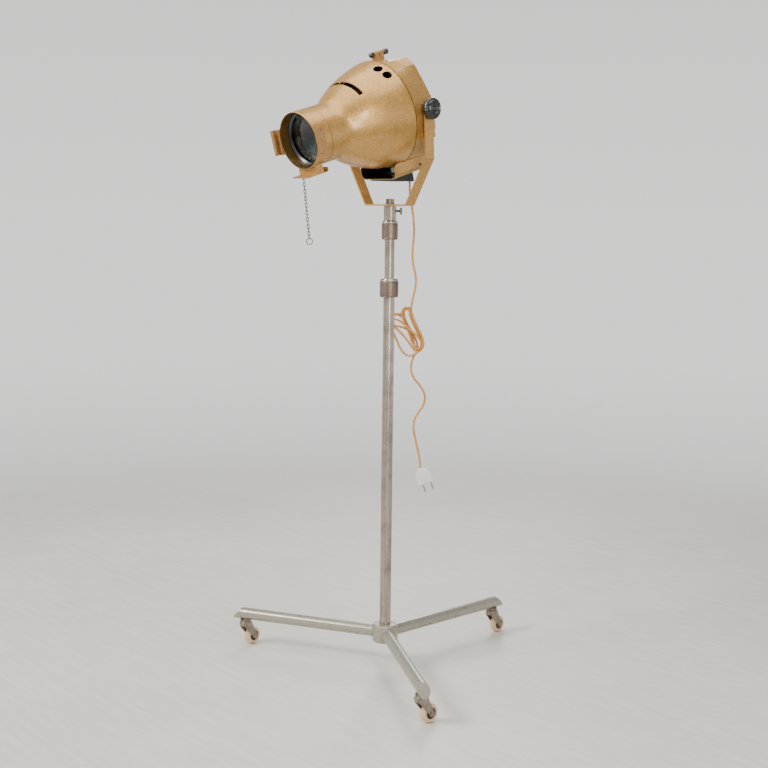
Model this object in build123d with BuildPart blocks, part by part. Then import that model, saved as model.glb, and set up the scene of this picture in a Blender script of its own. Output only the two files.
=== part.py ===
from build123d import *
import math
import os

# Small stage spotlight with a plano-convex lens on a three-legged rolling stand.
# Millimetres. +Z is up and the origin is on the floor, on the axis of the mast.
# At rest the lamp points towards -Y and is tilted down by REST_TILT.

# ---------------------------------------------------------------- driving sizes
# Rolling base
HUB_R = 29.0
HUB_LOW = 58.0
HUB_HIGH = 98.0
LEG_ANGLES = {"left": 207.0, "front": -30.0, "rear": 90.0}
LEG_R = 13.5
LEG_WALL = 2.0
LEG_Z = 78.0
LEG_START = 17.0
LEG_TOP_REACH = 362.0
LEG_BOTTOM_REACH = 384.5
CASTER_REACH = 353.0
CASTER_TRAIL = 21.0
TRAIL_ANGLES = {"left": 98.0, "front": 88.0, "rear": 92.0}
WHEEL_R = 20.0
WHEEL_WIDTH = 15.0
WHEEL_HUB_R = 12.5
AXLE_R = 3.0
FORK_GAP = 17.0
FORK_PLATE = 2.2
FORK_TOP = 60.5

# Telescopic mast
LOWER_TUBE_R = 12.5
MIDDLE_TUBE_R = 10.95
INNER_TUBE_R = 9.4
TUBE_WALL = 1.5
LOWER_TUBE_TOP = 850.0
MIDDLE_TUBE_BOTTOM = 320.0
MIDDLE_TUBE_TOP = 975.0
INNER_TUBE_BOTTOM = 560.0
LOWER_COLLAR = (20.6, 839.5, 881.0)
UPPER_COLLAR = (18.0, 965.0, 1007.0)
SOCKET_R = 13.7
SOCKET_BOTTOM = 1007.2
SOCKET_TOP = 1037.8
SPIGOT_R = 7.9
SPIGOT_BOTTOM = 1013.0
CLAMP_SCREW_Z = 1027.0
CLAMP_SCREW_ANGLE = 48.0
RUN_GAP = 0.05

# Yoke
YOKE_Y = -3.0
YOKE_WIDTH = 25.0
YOKE_THICK = 3.5
PLATE_TOP = 1041.5
YOKE_FOOT_X = 66.0
YOKE_BEND_X = 126.0
YOKE_BEND_Z = 1137.0
YOKE_EYE_X = 120.0
YOKE_TOP = 1250.0

# Lamp head, in its own directions: a forward along the beam, u up, x sideways
PIVOT = Vector(0, YOKE_Y, 1240.0)
REST_TILT = 16.4
RIM_A = 262.0
SLEEVE_BACK_A = 222.0
SLEEVE_R = 59.5
SLEEVE_GAP = 1.2
NECK_BACK_A = 190.0
BELL_BACK_A = 36.5
SEAM_A = 33.5
SEAM_R = 115.5
SHEET = 1.6
HOUSING_WALL = 2.4
BACK_A = -35.0
TRAY_HALF = 55.0
TRAY_FLOOR = -132.0
TRAY_FRONT_A = 70.0
TRAY_CORNER = 12.0
LENS_R = 54.0
LENS_CURVE_R = 140.0
LENS_APEX_A = 243.0
BULB_R = 27.0
LAMP_A = 10.0
KNOB_R = 22.8

# Mains cord: it hangs in an upright plane turned by CORD_ANGLE, CORD_DEPTH behind the mast
CORD_R = 2.5
CORD_ANGLE = math.radians(48.0)
CORD_DEPTH = 57.6
CORD_EXIT_S = 43.1
PIN_R = 2.0
PIN_LENGTH = 19.0
PIN_SPACING = 19.0

# ---------------------------------------------------------------- directions
tilt = math.radians(REST_TILT)
FORWARD = Vector(0, -math.cos(tilt), -math.sin(tilt))
UP = Vector(0, -math.sin(tilt), math.cos(tilt))
SIDE = Vector(1, 0, 0)
BEAM = Axis(PIVOT, FORWARD)


def across(a):
    """Plane square to the beam at station a: local x is sideways, local y is up."""
    return Plane(origin=PIVOT + FORWARD * a, x_dir=SIDE, z_dir=FORWARD)


def turning(angle=0):
    """Plane for turned profiles: local x is radius, at this angle above sideways; local y runs forward."""
    lean = math.radians(angle)
    radius_dir = SIDE * math.cos(lean) + UP * math.sin(lean)
    return Plane(origin=PIVOT, x_dir=radius_dir, z_dir=radius_dir.cross(FORWARD))


def section(x=0):
    """Upright plane along the beam at sideways place x: local x runs forward, local y is up."""
    return Plane(origin=PIVOT + SIDE * x, x_dir=FORWARD, z_dir=SIDE * -1)


def head_point(a, x, u):
    return PIVOT + FORWARD * a + SIDE * x + UP * u


def save(block, name):
    """Label one finished sub-part and write it as its own STEP file."""
    block.part.label = name
    export_step(block.part, f"parts/{name}.step")


os.makedirs("parts", exist_ok=True)

# ================================================================ rolling base
with BuildPart() as base_hub:
    with BuildSketch(Plane.XY.offset(HUB_LOW)):
        Circle(HUB_R)
    extrude(amount=HUB_HIGH - HUB_LOW)
    chamfer(base_hub.edges().filter_by(GeomType.CIRCLE), 2.5)
    with BuildSketch(Plane.XY.offset(HUB_LOW + 4)):
        Circle(LOWER_TUBE_R)
    extrude(amount=HUB_HIGH, mode=Mode.SUBTRACT)
    for angle in LEG_ANGLES.values():
        direction = Vector(math.cos(math.radians(angle)), math.sin(math.radians(angle)), 0)
        with BuildSketch(Plane(origin=direction * LEG_START + Vector(0, 0, LEG_Z), z_dir=direction)):
            Circle(LEG_R)
        extrude(amount=HUB_R, mode=Mode.SUBTRACT)
save(base_hub, "base_hub")

# Each leg is a round tube cut off at a slant, so its underside reaches furthest out.
caps = []
for name, angle in LEG_ANGLES.items():
    direction = Vector(math.cos(math.radians(angle)), math.sin(math.radians(angle)), 0)
    leg_side = Vector(direction.Y, -direction.X, 0)
    leg_plane = Plane(origin=Vector(0, 0, LEG_Z), x_dir=direction, z_dir=leg_side)
    start_plane = Plane(origin=direction * LEG_START + Vector(0, 0, LEG_Z), z_dir=direction)
    slant = (LEG_BOTTOM_REACH - LEG_TOP_REACH) / (2 * LEG_R)
    cap_thick = 2.5

    with BuildPart() as leg:
        with BuildSketch(start_plane):
            Circle(LEG_R)
            Circle(LEG_R - LEG_WALL, mode=Mode.SUBTRACT)
        extrude(amount=LEG_BOTTOM_REACH)
        # The slanted end, less the thickness of the end plate.
        with BuildSketch(leg_plane):
            with BuildLine():
                Polyline(
                    (LEG_TOP_REACH - cap_thick - slant * 2, LEG_R + 2),
                    (LEG_BOTTOM_REACH - cap_thick + slant * 2, -LEG_R - 2),
                    (LEG_BOTTOM_REACH + 60, -LEG_R - 2),
                    (LEG_BOTTOM_REACH + 60, LEG_R + 2),
                    close=True,
                )
            make_face()
        extrude(amount=LEG_R + 2, both=True, mode=Mode.SUBTRACT)
        # Hole in the underside for the castor's bush.
        with BuildSketch(Plane(origin=direction * CASTER_REACH + Vector(0, 0, LEG_Z))):
            Circle(8.0)
        extrude(amount=-LEG_R - 2, mode=Mode.SUBTRACT)
    save(leg, f"leg_{name}")

    with BuildPart() as leg_cap:
        with BuildSketch(start_plane):
            Circle(LEG_R)
        extrude(amount=LEG_BOTTOM_REACH)
        with BuildSketch(leg_plane):
            with BuildLine():
                Polyline(
                    (LEG_TOP_REACH - cap_thick - slant * 2, LEG_R + 2),
                    (LEG_BOTTOM_REACH - cap_thick + slant * 2, -LEG_R - 2),
                    (LEG_BOTTOM_REACH + slant * 2, -LEG_R - 2),
                    (LEG_TOP_REACH - slant * 2, LEG_R + 2),
                    close=True,
                )
            make_face()
        extrude(amount=LEG_R + 2, both=True, mode=Mode.INTERSECT)
    caps.append(leg_cap.part)

with BuildPart() as leg_caps:
    add(caps)
save(leg_caps, "leg_caps")

# ================================================================ castors
stems = []
for name, angle in LEG_ANGLES.items():
    swivel = Vector(math.cos(math.radians(angle)), math.sin(math.radians(angle)), 0) * CASTER_REACH
    trail_angle = math.radians(TRAIL_ANGLES[name])
    trail = Vector(math.cos(trail_angle), math.sin(trail_angle), 0)
    axle_dir = Vector(-trail.Y, trail.X, 0)
    # Local x runs along the trail, local y is height above the floor.
    fork_plane = Plane(origin=swivel, x_dir=trail, z_dir=axle_dir * -1)
    axle_plane = Plane(origin=swivel + trail * CASTER_TRAIL + Vector(0, 0, WHEEL_R), z_dir=axle_dir)

    # Stem pressed in the leg, with the fixed upper race.
    with BuildPart() as stem:
        with BuildSketch(Plane(origin=swivel + Vector(0, 0, FORK_TOP + 0.4))):
            Circle(13.0)
        extrude(amount=LEG_Z - LEG_R - FORK_TOP - 0.6)
        with BuildSketch(Plane(origin=swivel + Vector(0, 0, FORK_TOP - 8.0))):
            Circle(5.0)
        extrude(amount=LEG_Z - FORK_TOP + 12)
        with BuildSketch(Plane(origin=swivel + Vector(0, 0, LEG_Z - LEG_R - 0.2))):
            Circle(7.9)
        extrude(amount=8.0)
        with BuildSketch(Plane(origin=swivel + Vector(0, 0, FORK_TOP - 8.0))):
            Circle(7.0)
        extrude(amount=2.0)
    stems.append(stem.part)

    with BuildPart() as fork:
        # Domed cup that turns on the stem.
        with BuildSketch(fork_plane):
            with BuildLine():
                Polyline((5.2, FORK_TOP), (5.2, 55.2), (10.5, 55.2), (10.5, 48.5), (13.5, 48.5), (13.5, 56.5))
                ThreePointArc((13.5, 56.5), (12.3, 59.4), (9.5, FORK_TOP))
                Line((9.5, FORK_TOP), (5.2, FORK_TOP))
            make_face()
        revolve(axis=Axis(swivel, (0, 0, 1)))
        # Two cheeks that taper down and back to the axle.
        for side in (-1, 1):
            inner = FORK_GAP / 2
            with BuildSketch(fork_plane.offset(side * inner)):
                with BuildLine():
                    Polyline(
                        (-11.0, 57.0),
                        (-10.0, 47.0),
                        (CASTER_TRAIL - 6.6, WHEEL_R - 2.0),
                    )
                    ThreePointArc(
                        (CASTER_TRAIL - 6.6, WHEEL_R - 2.0),
                        (CASTER_TRAIL + 1.5, WHEEL_R - 6.7),
                        (CASTER_TRAIL + 6.8, WHEEL_R + 1.0),
                    )
                    Polyline((CASTER_TRAIL + 6.8, WHEEL_R + 1.0), (12.5, 50.0), (11.0, 57.0), (-11.0, 57.0))
                make_face()
            extrude(amount=side * FORK_PLATE)
        with BuildSketch(Plane(origin=swivel + Vector(0, 0, 52.6))):
            Circle(10.3)
        extrude(amount=2.4)
        with BuildSketch(Plane(origin=swivel + Vector(0, 0, 40.0))):
            Circle(7.2)
        extrude(amount=30.0, mode=Mode.SUBTRACT)
        with BuildSketch(Plane(origin=swivel + Vector(0, 0, 55.2))):
            Circle(12.0)
            Circle(5.2, mode=Mode.SUBTRACT)
        extrude(amount=2.2)
        with BuildSketch(axle_plane):
            Circle(AXLE_R + RUN_GAP)
        extrude(amount=40, both=True, mode=Mode.SUBTRACT)
        # Riveted axle with a domed head on each side, a separate solid.
        with BuildSketch(axle_plane):
            Circle(AXLE_R)
        extrude(amount=FORK_GAP / 2 + FORK_PLATE + 0.1, both=True)
        for side in (-1, 1):
            with BuildSketch(axle_plane.offset(side * (FORK_GAP / 2 + FORK_PLATE + RUN_GAP))):
                Circle(5.0)
            extrude(amount=side * 2.0, taper=25)
    save(fork, f"caster_fork_{name}")

    with BuildPart() as wheel_core:
        with BuildSketch(axle_plane):
            Circle(WHEEL_HUB_R)
            Circle(AXLE_R + RUN_GAP, mode=Mode.SUBTRACT)
        extrude(amount=WHEEL_WIDTH / 2 - 1.0, both=True)
        for side in (-1, 1):
            with BuildSketch(axle_plane.offset(side * (WHEEL_WIDTH / 2 - 3.0))):
                Circle(10.0)
                Circle(5.5, mode=Mode.SUBTRACT)
            extrude(amount=side * 4.0, mode=Mode.SUBTRACT)
    save(wheel_core, f"wheel_core_{name}")

    with BuildPart() as tyre:
        with BuildSketch(axle_plane):
            Circle(WHEEL_R)
            Circle(WHEEL_HUB_R, mode=Mode.SUBTRACT)
        extrude(amount=WHEEL_WIDTH / 2, both=True)
        outer_edges = tyre.edges().filter_by(GeomType.CIRCLE).filter_by(lambda e: e.radius > WHEEL_R - 1)
        fillet(outer_edges, 4.5)
    save(tyre, f"wheel_tyre_{name}")

with BuildPart() as caster_stems:
    add(stems)
save(caster_stems, "caster_stems")

# ================================================================ mast
with BuildPart() as lower_tube:
    with BuildSketch(Plane.XY.offset(HUB_LOW + 4)):
        Circle(LOWER_TUBE_R)
        Circle(LOWER_TUBE_R - TUBE_WALL, mode=Mode.SUBTRACT)
    extrude(amount=LOWER_TUBE_TOP - HUB_LOW - 4)
save(lower_tube, "mast_lower_tube")

with BuildPart() as middle_tube:
    with BuildSketch(Plane.XY.offset(MIDDLE_TUBE_BOTTOM)):
        Circle(MIDDLE_TUBE_R)
        Circle(MIDDLE_TUBE_R - TUBE_WALL, mode=Mode.SUBTRACT)
    extrude(amount=MIDDLE_TUBE_TOP - MIDDLE_TUBE_BOTTOM)
save(middle_tube, "mast_middle_tube")

with BuildPart() as inner_tube:
    with BuildSketch(Plane.XY.offset(INNER_TUBE_BOTTOM)):
        Circle(INNER_TUBE_R)
        Circle(INNER_TUBE_R - TUBE_WALL, mode=Mode.SUBTRACT)
    extrude(amount=SOCKET_BOTTOM - INNER_TUBE_BOTTOM)
save(inner_tube, "mast_inner_tube")


def collar_and_collet(label, collar, outer_r, inner_r, shoulder):
    """Knurled clamp collar and the split collet that it squeezes onto the inner tube."""
    radius, low, high = collar
    with BuildPart() as shell:
        with BuildSketch(Plane.XY.offset(low)):
            Circle(radius)
            Circle(outer_r + 0.3, mode=Mode.SUBTRACT)
        extrude(amount=high - low)
        with BuildSketch(Plane.XY.offset(low + 3)):
            Circle(radius - 3.0)
        extrude(amount=high - low - 7, mode=Mode.SUBTRACT)
        with BuildSketch(Plane.XY.offset(high - 4)):
            Circle(radius - 2)
            Circle(inner_r + 0.4, mode=Mode.SUBTRACT)
        extrude(amount=4)
        rims = shell.edges().filter_by(GeomType.CIRCLE).filter_by(lambda e: e.radius > radius - 0.1)
        chamfer(rims, 1.2)
    save(shell, f"{label}_collar")

    with BuildPart() as collet:
        with BuildSketch(Plane.XY.offset(shoulder)):
            Circle(radius - 3.5)
            Circle(inner_r + RUN_GAP, mode=Mode.SUBTRACT)
        extrude(amount=high - 4.5 - shoulder)
        with BuildSketch(Plane.XY.offset(shoulder)):
            with PolarLocations(radius, 3):
                Rectangle(2 * radius, 1.6)
        extrude(amount=high, mode=Mode.SUBTRACT)
        with BuildSketch(Plane.XY.offset(shoulder)):
            Circle(radius - 3.5)
            Circle(inner_r + RUN_GAP, mode=Mode.SUBTRACT)
        extrude(amount=4)
    save(collet, f"{label}_collet")


collar_and_collet("lower", LOWER_COLLAR, LOWER_TUBE_R, MIDDLE_TUBE_R, LOWER_TUBE_TOP)
collar_and_collet("upper", UPPER_COLLAR, MIDDLE_TUBE_R, INNER_TUBE_R, MIDDLE_TUBE_TOP)

# Socket that takes the yoke's spigot, with a cross hole for the clamp screw.
clamp_dir = Vector(math.cos(math.radians(CLAMP_SCREW_ANGLE)), math.sin(math.radians(CLAMP_SCREW_ANGLE)), 0)
clamp_plane = Plane(origin=Vector(0, 0, CLAMP_SCREW_Z), x_dir=(0, 0, 1), z_dir=clamp_dir)
with BuildPart() as head_socket:
    with BuildSketch(Plane.XY.offset(SOCKET_BOTTOM)):
        Circle(SOCKET_R)
    extrude(amount=SOCKET_TOP - SOCKET_BOTTOM)
    chamfer(head_socket.edges().filter_by(GeomType.CIRCLE), 0.8)
    with BuildSketch(Plane.XY.offset(SPIGOT_BOTTOM - 2)):
        Circle(SPIGOT_R + RUN_GAP)
    extrude(amount=60, mode=Mode.SUBTRACT)
    with BuildSketch(clamp_plane):
        Circle(2.55)
    extrude(amount=40, mode=Mode.SUBTRACT)
save(head_socket, "head_socket")

with BuildPart() as clamp_screw:
    with BuildSketch(clamp_plane.offset(SPIGOT_R + 0.1)):
        Circle(2.5)
    extrude(amount=14.0)
    with BuildSketch(clamp_plane.offset(SOCKET_R + 6.0)):
        Circle(3.4)
    extrude(amount=3.0)
    # Flat wing across the screw, 15 mm tall.
    with BuildSketch(clamp_plane.offset(SPIGOT_R + 14.0)):
        SlotOverall(15.5, 5.0)
    extrude(amount=4.5)
    fillet(clamp_screw.faces().sort_by(Axis((0, 0, CLAMP_SCREW_Z), clamp_dir))[-1].edges(), 1.2)
save(clamp_screw, "socket_clamp_screw")

# ================================================================ yoke
yoke_plane = Plane(origin=Vector(0, YOKE_Y, 0), x_dir=(1, 0, 0), z_dir=(0, -1, 0))
half_bar = [
    (0, PLATE_TOP - YOKE_THICK),
    (YOKE_FOOT_X, PLATE_TOP - YOKE_THICK),
    (YOKE_BEND_X, YOKE_BEND_Z),
    (YOKE_EYE_X, YOKE_TOP + 3),
]
with BuildPart() as yoke:
    with BuildSketch(yoke_plane):
        with BuildLine():
            outline = FilletPolyline(
                *[(-x, z) for x, z in reversed(half_bar[1:])],
                *half_bar[1:],
                radius=7.0,
            )
            offset(outline, amount=YOKE_THICK, side=Side.LEFT, closed=True)
        make_face()
    extrude(amount=YOKE_WIDTH / 2, both=True)
    # Rounded ends above the two eyes.
    with BuildSketch(Plane(origin=PIVOT, x_dir=(0, 1, 0), z_dir=(1, 0, 0))):
        with Locations((0, 9.0)):
            Rectangle(40.0, 18.0)
        SlotCenterPoint((0, -8.0), (0, 0), YOKE_WIDTH, mode=Mode.SUBTRACT)
    extrude(amount=160, both=True, mode=Mode.SUBTRACT)
    with BuildSketch(Plane(origin=PIVOT, x_dir=(0, 1, 0), z_dir=(1, 0, 0))):
        Circle(5.08)
    extrude(amount=160, both=True, mode=Mode.SUBTRACT)
    with BuildSketch(Plane.XY.offset(PLATE_TOP - 12)):
        Circle(4.1)
    extrude(amount=24, mode=Mode.SUBTRACT)
save(yoke, "yoke")

# Spigot under the yoke plate: a turned pin with an M8 end through the plate.
with BuildPart() as spigot:
    with BuildSketch(Plane.XY.offset(SPIGOT_BOTTOM)):
        Circle(SPIGOT_R)
    extrude(amount=PLATE_TOP - YOKE_THICK - SPIGOT_BOTTOM)
    chamfer(spigot.faces().sort_by(Axis.Z)[0].edges(), 1.0)
    with BuildSketch(Plane.XY.offset(PLATE_TOP - YOKE_THICK)):
        Circle(4.0)
    extrude(amount=YOKE_THICK + 12.0)
save(spigot, "yoke_spigot")

# Nut and its washer, two separate solids.
with BuildPart() as spigot_nut:
    with BuildSketch(Plane.XY.offset(PLATE_TOP)):
        Circle(10.4)
        Circle(4.05, mode=Mode.SUBTRACT)
    extrude(amount=1.5)
    with BuildSketch(Plane.XY.offset(PLATE_TOP + 1.5 + RUN_GAP)):
        RegularPolygon(radius=8.0, side_count=6, major_radius=False)
        Circle(4.05, mode=Mode.SUBTRACT)
    extrude(amount=10.0)
save(spigot_nut, "spigot_nut")

# ================================================================ bell
# Outer line of the bell from the neck back to the seam: radius, station.
bell_line = [
    (SLEEVE_R, NECK_BACK_A),
    (69.5, 160.0),
    (86.0, 130.0),
    (99.0, 100.0),
    (108.0, 70.0),
    (SEAM_R, BELL_BACK_A),
]
vent_slot_a = 125.0
vent_slot_width = 9.5
vent_slot_half_angle = 46.0
vent_hole_r = 10.0
vent_holes = [(56.0, 27.0), (54.0, 40.5)]
neck_front_a = 236.0
neck_step_r = SLEEVE_R - SHEET - 0.1

with BuildPart() as bell:
    with BuildSketch(turning()):
        with BuildLine():
            Polyline(
                (SLEEVE_R, NECK_BACK_A),
                (SLEEVE_R, SLEEVE_BACK_A - SLEEVE_GAP),
                (neck_step_r, SLEEVE_BACK_A - SLEEVE_GAP),
                (neck_step_r, neck_front_a),
                (neck_step_r - SHEET, neck_front_a),
                (neck_step_r - SHEET, NECK_BACK_A),
            )
            Spline(
                *[(r - SHEET * 1.15, a) for r, a in bell_line],
                tangents=[(0, -1), (0.12, -1)],
            )
            Line((neck_step_r - SHEET, NECK_BACK_A), (SLEEVE_R - SHEET * 1.15, NECK_BACK_A))
            Line((SEAM_R - SHEET * 1.15, BELL_BACK_A), (SEAM_R, BELL_BACK_A))
            Spline(*reversed(bell_line), tangents=[(-0.12, 1), (0, 1)])
        make_face()
    revolve(axis=BEAM)
    # Long vent slot over the top.
    with BuildSketch(across(vent_slot_a - vent_slot_width / 2)):
        with BuildLine():
            lean = math.radians(vent_slot_half_angle)
            reach = 130.0
            Polyline(
                (0, 0),
                (-reach * math.sin(lean), reach * math.cos(lean)),
                (0, reach * 1.5),
                (reach * math.sin(lean), reach * math.cos(lean)),
                close=True,
            )
        make_face()
    extrude(amount=vent_slot_width, mode=Mode.SUBTRACT)
    # Two pairs of round vents near the seam.
    for station, angle in vent_holes:
        for side in (-1, 1):
            lean = math.radians(side * angle)
            outwards = SIDE * math.sin(lean) + UP * math.cos(lean)
            with BuildSketch(Plane(origin=PIVOT + FORWARD * station, x_dir=FORWARD, z_dir=outwards)):
                Circle(vent_hole_r)
            extrude(amount=140, mode=Mode.SUBTRACT)
    # Notch in the underside, open towards the seam, that lets the lampholder run forward.
    with BuildSketch(Plane(origin=head_point(0, 0, -60.0), x_dir=SIDE, z_dir=UP * -1)):
        with Locations((0, 50.0)):
            Rectangle(44.0, 44.0)
    extrude(amount=80.0, mode=Mode.SUBTRACT)
save(bell, "bell")

# Light trap: a curved baffle hung inside the bell under the vents.
baffle_arc = 104.0
with BuildPart() as vent_baffle:
    with BuildSketch(turning(90 - baffle_arc / 2)):
        with BuildLine():
            baffle_line = Polyline((97.0, 44.0), (92.5, 72.0), (79.0, 106.0), (69.0, 132.0), (62.0, 144.0))
            offset(baffle_line, amount=1.0, side=Side.LEFT, closed=True)
        make_face()
    revolve(axis=BEAM, revolution_arc=baffle_arc)
save(vent_baffle, "vent_baffle")

# ================================================================ lens end
with BuildPart() as sleeve:
    with BuildSketch(turning()):
        with BuildLine():
            Polyline(
                (SLEEVE_R - SHEET, SLEEVE_BACK_A),
                (SLEEVE_R, SLEEVE_BACK_A),
                (SLEEVE_R, RIM_A - 1.0),
            )
            ThreePointArc(
                (SLEEVE_R, RIM_A - 1.0),
                (SLEEVE_R - SHEET / 2, RIM_A),
                (SLEEVE_R - SHEET, RIM_A - 1.0),
            )
            Line((SLEEVE_R - SHEET, RIM_A - 1.0), (SLEEVE_R - SHEET, SLEEVE_BACK_A))
        make_face()
    revolve(axis=BEAM)
save(sleeve, "filter_sleeve")

lens_edge_a = LENS_APEX_A - (LENS_CURVE_R - math.sqrt(LENS_CURVE_R**2 - LENS_R**2))
lens_back_a = lens_edge_a - 5.0
with BuildPart() as lens:
    with BuildSketch(turning()):
        with BuildLine():
            Polyline((0, LENS_APEX_A), (0, lens_back_a), (LENS_R, lens_back_a), (LENS_R, lens_edge_a))
            middle_r = LENS_R / 2
            middle_a = LENS_APEX_A - (LENS_CURVE_R - math.sqrt(LENS_CURVE_R**2 - middle_r**2))
            ThreePointArc((LENS_R, lens_edge_a), (middle_r, middle_a), (0, LENS_APEX_A))
        make_face()
    revolve(axis=BEAM)
save(lens, "lens")

# Retaining ring in front of the glass and the spring wire behind it, two separate solids.
wire_r = 1.3
ring_lip_r = 50.5
with BuildPart() as lens_rings:
    with BuildSketch(turning()):
        with BuildLine():
            Polyline(
                (neck_step_r, neck_front_a + 0.1),
                (neck_step_r, neck_front_a + 4.6),
                (neck_step_r - 3.0, neck_front_a + 4.6),
                (ring_lip_r, neck_front_a + 1.6),
                (ring_lip_r, neck_front_a + 0.1),
                close=True,
            )
        make_face()
        with Locations((LENS_R + 0.6, lens_back_a - wire_r)):
            Circle(wire_r)
    revolve(axis=BEAM)
save(lens_rings, "lens_rings")

# Two channels that a colour-filter frame slides down between, one each side of the rim.
runner_low = -27.5
runner_high = 25.0
runner_web_x = 75.2
runner_gap = 7.0
runner_lip = 7.2
runner_tab = 22.0
runners = []
for side in (-1, 1):
    with BuildPart() as runner:
        with BuildSketch(Plane(origin=head_point(0, 0, runner_low), x_dir=FORWARD, z_dir=UP)):
            with BuildLine():
                rear = RIM_A - 0.4
                front = rear + runner_gap + SHEET
                corner_x = side * (SLEEVE_R + 1.0)
                web_x = side * runner_web_x
                mouth_x = side * (runner_web_x - runner_lip)
                folded = Polyline(
                    (RIM_A - runner_tab, corner_x),
                    (rear, corner_x),
                    (rear, web_x),
                    (front, web_x),
                    (front, mouth_x),
                )
                offset(folded, amount=SHEET / 2, closed=True)
            make_face()
        extrude(amount=runner_high - runner_low)
        # Weld fillet that carries the flat tab on the round sleeve.
        with BuildSketch(Plane(origin=head_point(0, 0, runner_low), x_dir=FORWARD, z_dir=UP)):
            with Locations(((RIM_A * 2 - 20.0) / 2, side * (SLEEVE_R - 3.0))):
                Rectangle(10.0, 8.0)
        extrude(amount=runner_high - runner_low)
        with BuildSketch(across(SLEEVE_BACK_A - 5)):
            Circle(SLEEVE_R + 0.02)
        extrude(amount=RIM_A - SLEEVE_BACK_A + 6.0, mode=Mode.SUBTRACT)
    runners.append(runner.part)

with BuildPart() as filter_runners:
    add(runners)
save(filter_runners, "filter_runners")

# Chain under the rim: alternate links turned a quarter, with a plain ring on the end.
chain_pitch = 7.2
chain_count = 17
chain_lean = 5.5
link_wire_r = 0.75
link_bend_r = 2.1
link_half = 2.3
link_play = 0.15
ring_r = 6.3
ring_wire_r = 0.85
eye_r = 2.6
eye_half = 1.3
stop_half = 28.0
stop_top = -71.5
lean = math.radians(chain_lean)
lean_angle = math.radians(CLAMP_SCREW_ANGLE)
lean_dir = Vector(math.cos(lean_angle), math.sin(lean_angle), 0)
chain_dir = lean_dir * math.sin(lean) + Vector(0, 0, -math.cos(lean))
chain_flat = chain_dir.cross(lean_dir).normalized()
eye_centre = head_point(269.0, 0, stop_top - SHEET - 1.9)
eye_bottom = eye_centre - Vector(0, 0, eye_r)
link_reach = link_half + link_bend_r - link_wire_r
first_link = eye_bottom + chain_dir * (link_reach - link_wire_r - link_play)


def wire_loop(centre, long_dir, normal, half, bend_r, wire_r):
    """Round wire bent into a closed loop with two straight sides; half=0 gives a plain ring."""
    plane = Plane(origin=centre, x_dir=long_dir, z_dir=normal)
    with BuildPart() as loop:
        with BuildLine(plane) as path:
            if half > 0:
                Line((-half, bend_r), (half, bend_r))
                ThreePointArc((half, bend_r), (half + bend_r, 0), (half, -bend_r))
                Line((half, -bend_r), (-half, -bend_r))
                ThreePointArc((-half, -bend_r), (-half - bend_r, 0), (-half, bend_r))
            else:
                CenterArc((0, 0), bend_r, 90, 360)
        with BuildSketch(Plane(origin=plane.from_local_coords(Vector(-half, bend_r, 0)), z_dir=long_dir)):
            Circle(wire_r)
        sweep(path=path.wires()[0])
    return loop.part


# Stop under the rim: a folded bracket with a long plate that the filter frame stands on.
with BuildPart() as filter_stop:
    with BuildSketch(across(SLEEVE_BACK_A + 1.0)):
        with Locations((0, stop_top - SHEET / 2)):
            Rectangle(2 * stop_half, SHEET)
    extrude(amount=56.0)
    plate_corners = filter_stop.edges().filter_by(Axis(PIVOT, UP))
    fillet(plate_corners, 5.0)
    with BuildSketch(across(236.0)):
        with Locations((0, (stop_top - 50.0) / 2)):
            Rectangle(2 * stop_half, stop_top * -1 - 50.0)
    extrude(amount=19.0)
    with BuildSketch(across(234.0)):
        with Locations((0, stop_top / 2 - 30.0)):
            Rectangle(2 * stop_half - 2 * SHEET, stop_top * -1 - 50.0)
    extrude(amount=19.4, mode=Mode.SUBTRACT)
    with BuildSketch(across(SLEEVE_BACK_A + 1.0)):
        with Locations((0, stop_top + 4.0)):
            Rectangle(2 * stop_half, 8.0)
    extrude(amount=SHEET)
    with BuildSketch(across(SLEEVE_BACK_A - 5)):
        Circle(SLEEVE_R + 0.02)
    extrude(amount=70.0, mode=Mode.SUBTRACT)

    # Wire eye under the plate: the chain swings on its straight lower side.
    add(wire_loop(eye_centre, lean_dir, chain_flat, eye_half, eye_r, link_wire_r))
save(filter_stop, "filter_stop")

with BuildPart() as chain:
    for i in range(chain_count):
        flat = chain_flat if i % 2 else chain_dir.cross(chain_flat).normalized()
        link_centre = first_link + chain_dir * (chain_pitch * i)
        add(wire_loop(link_centre, chain_dir, flat, link_half, link_bend_r, link_wire_r))
    last_link = first_link + chain_dir * (chain_pitch * (chain_count - 1))
    ring_centre = last_link + chain_dir * (link_reach - ring_wire_r + ring_r - link_play)
    add(wire_loop(ring_centre, chain_dir, chain_flat, 0, ring_r, ring_wire_r))
save(chain, "chain")

# ================================================================ rear housing
# Where the front circle and the back panel are joined by the fold lines of the shell:
# angle from the top on the circle, then the matching corner of the back panel.
fold_lines = [
    (28.0, (50.0, 105.0)),
    (37.0, (68.0, 89.0)),
    (88.0, (104.0, 10.0)),
    (113.0, (96.0, -45.0)),
    (148.0, (66.0, -102.0)),
]
pad_x = 113.3
pad_front = 22.0
pad_back = -11.5
pad_top = 7.0
pad_bottom = -62.0


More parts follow.
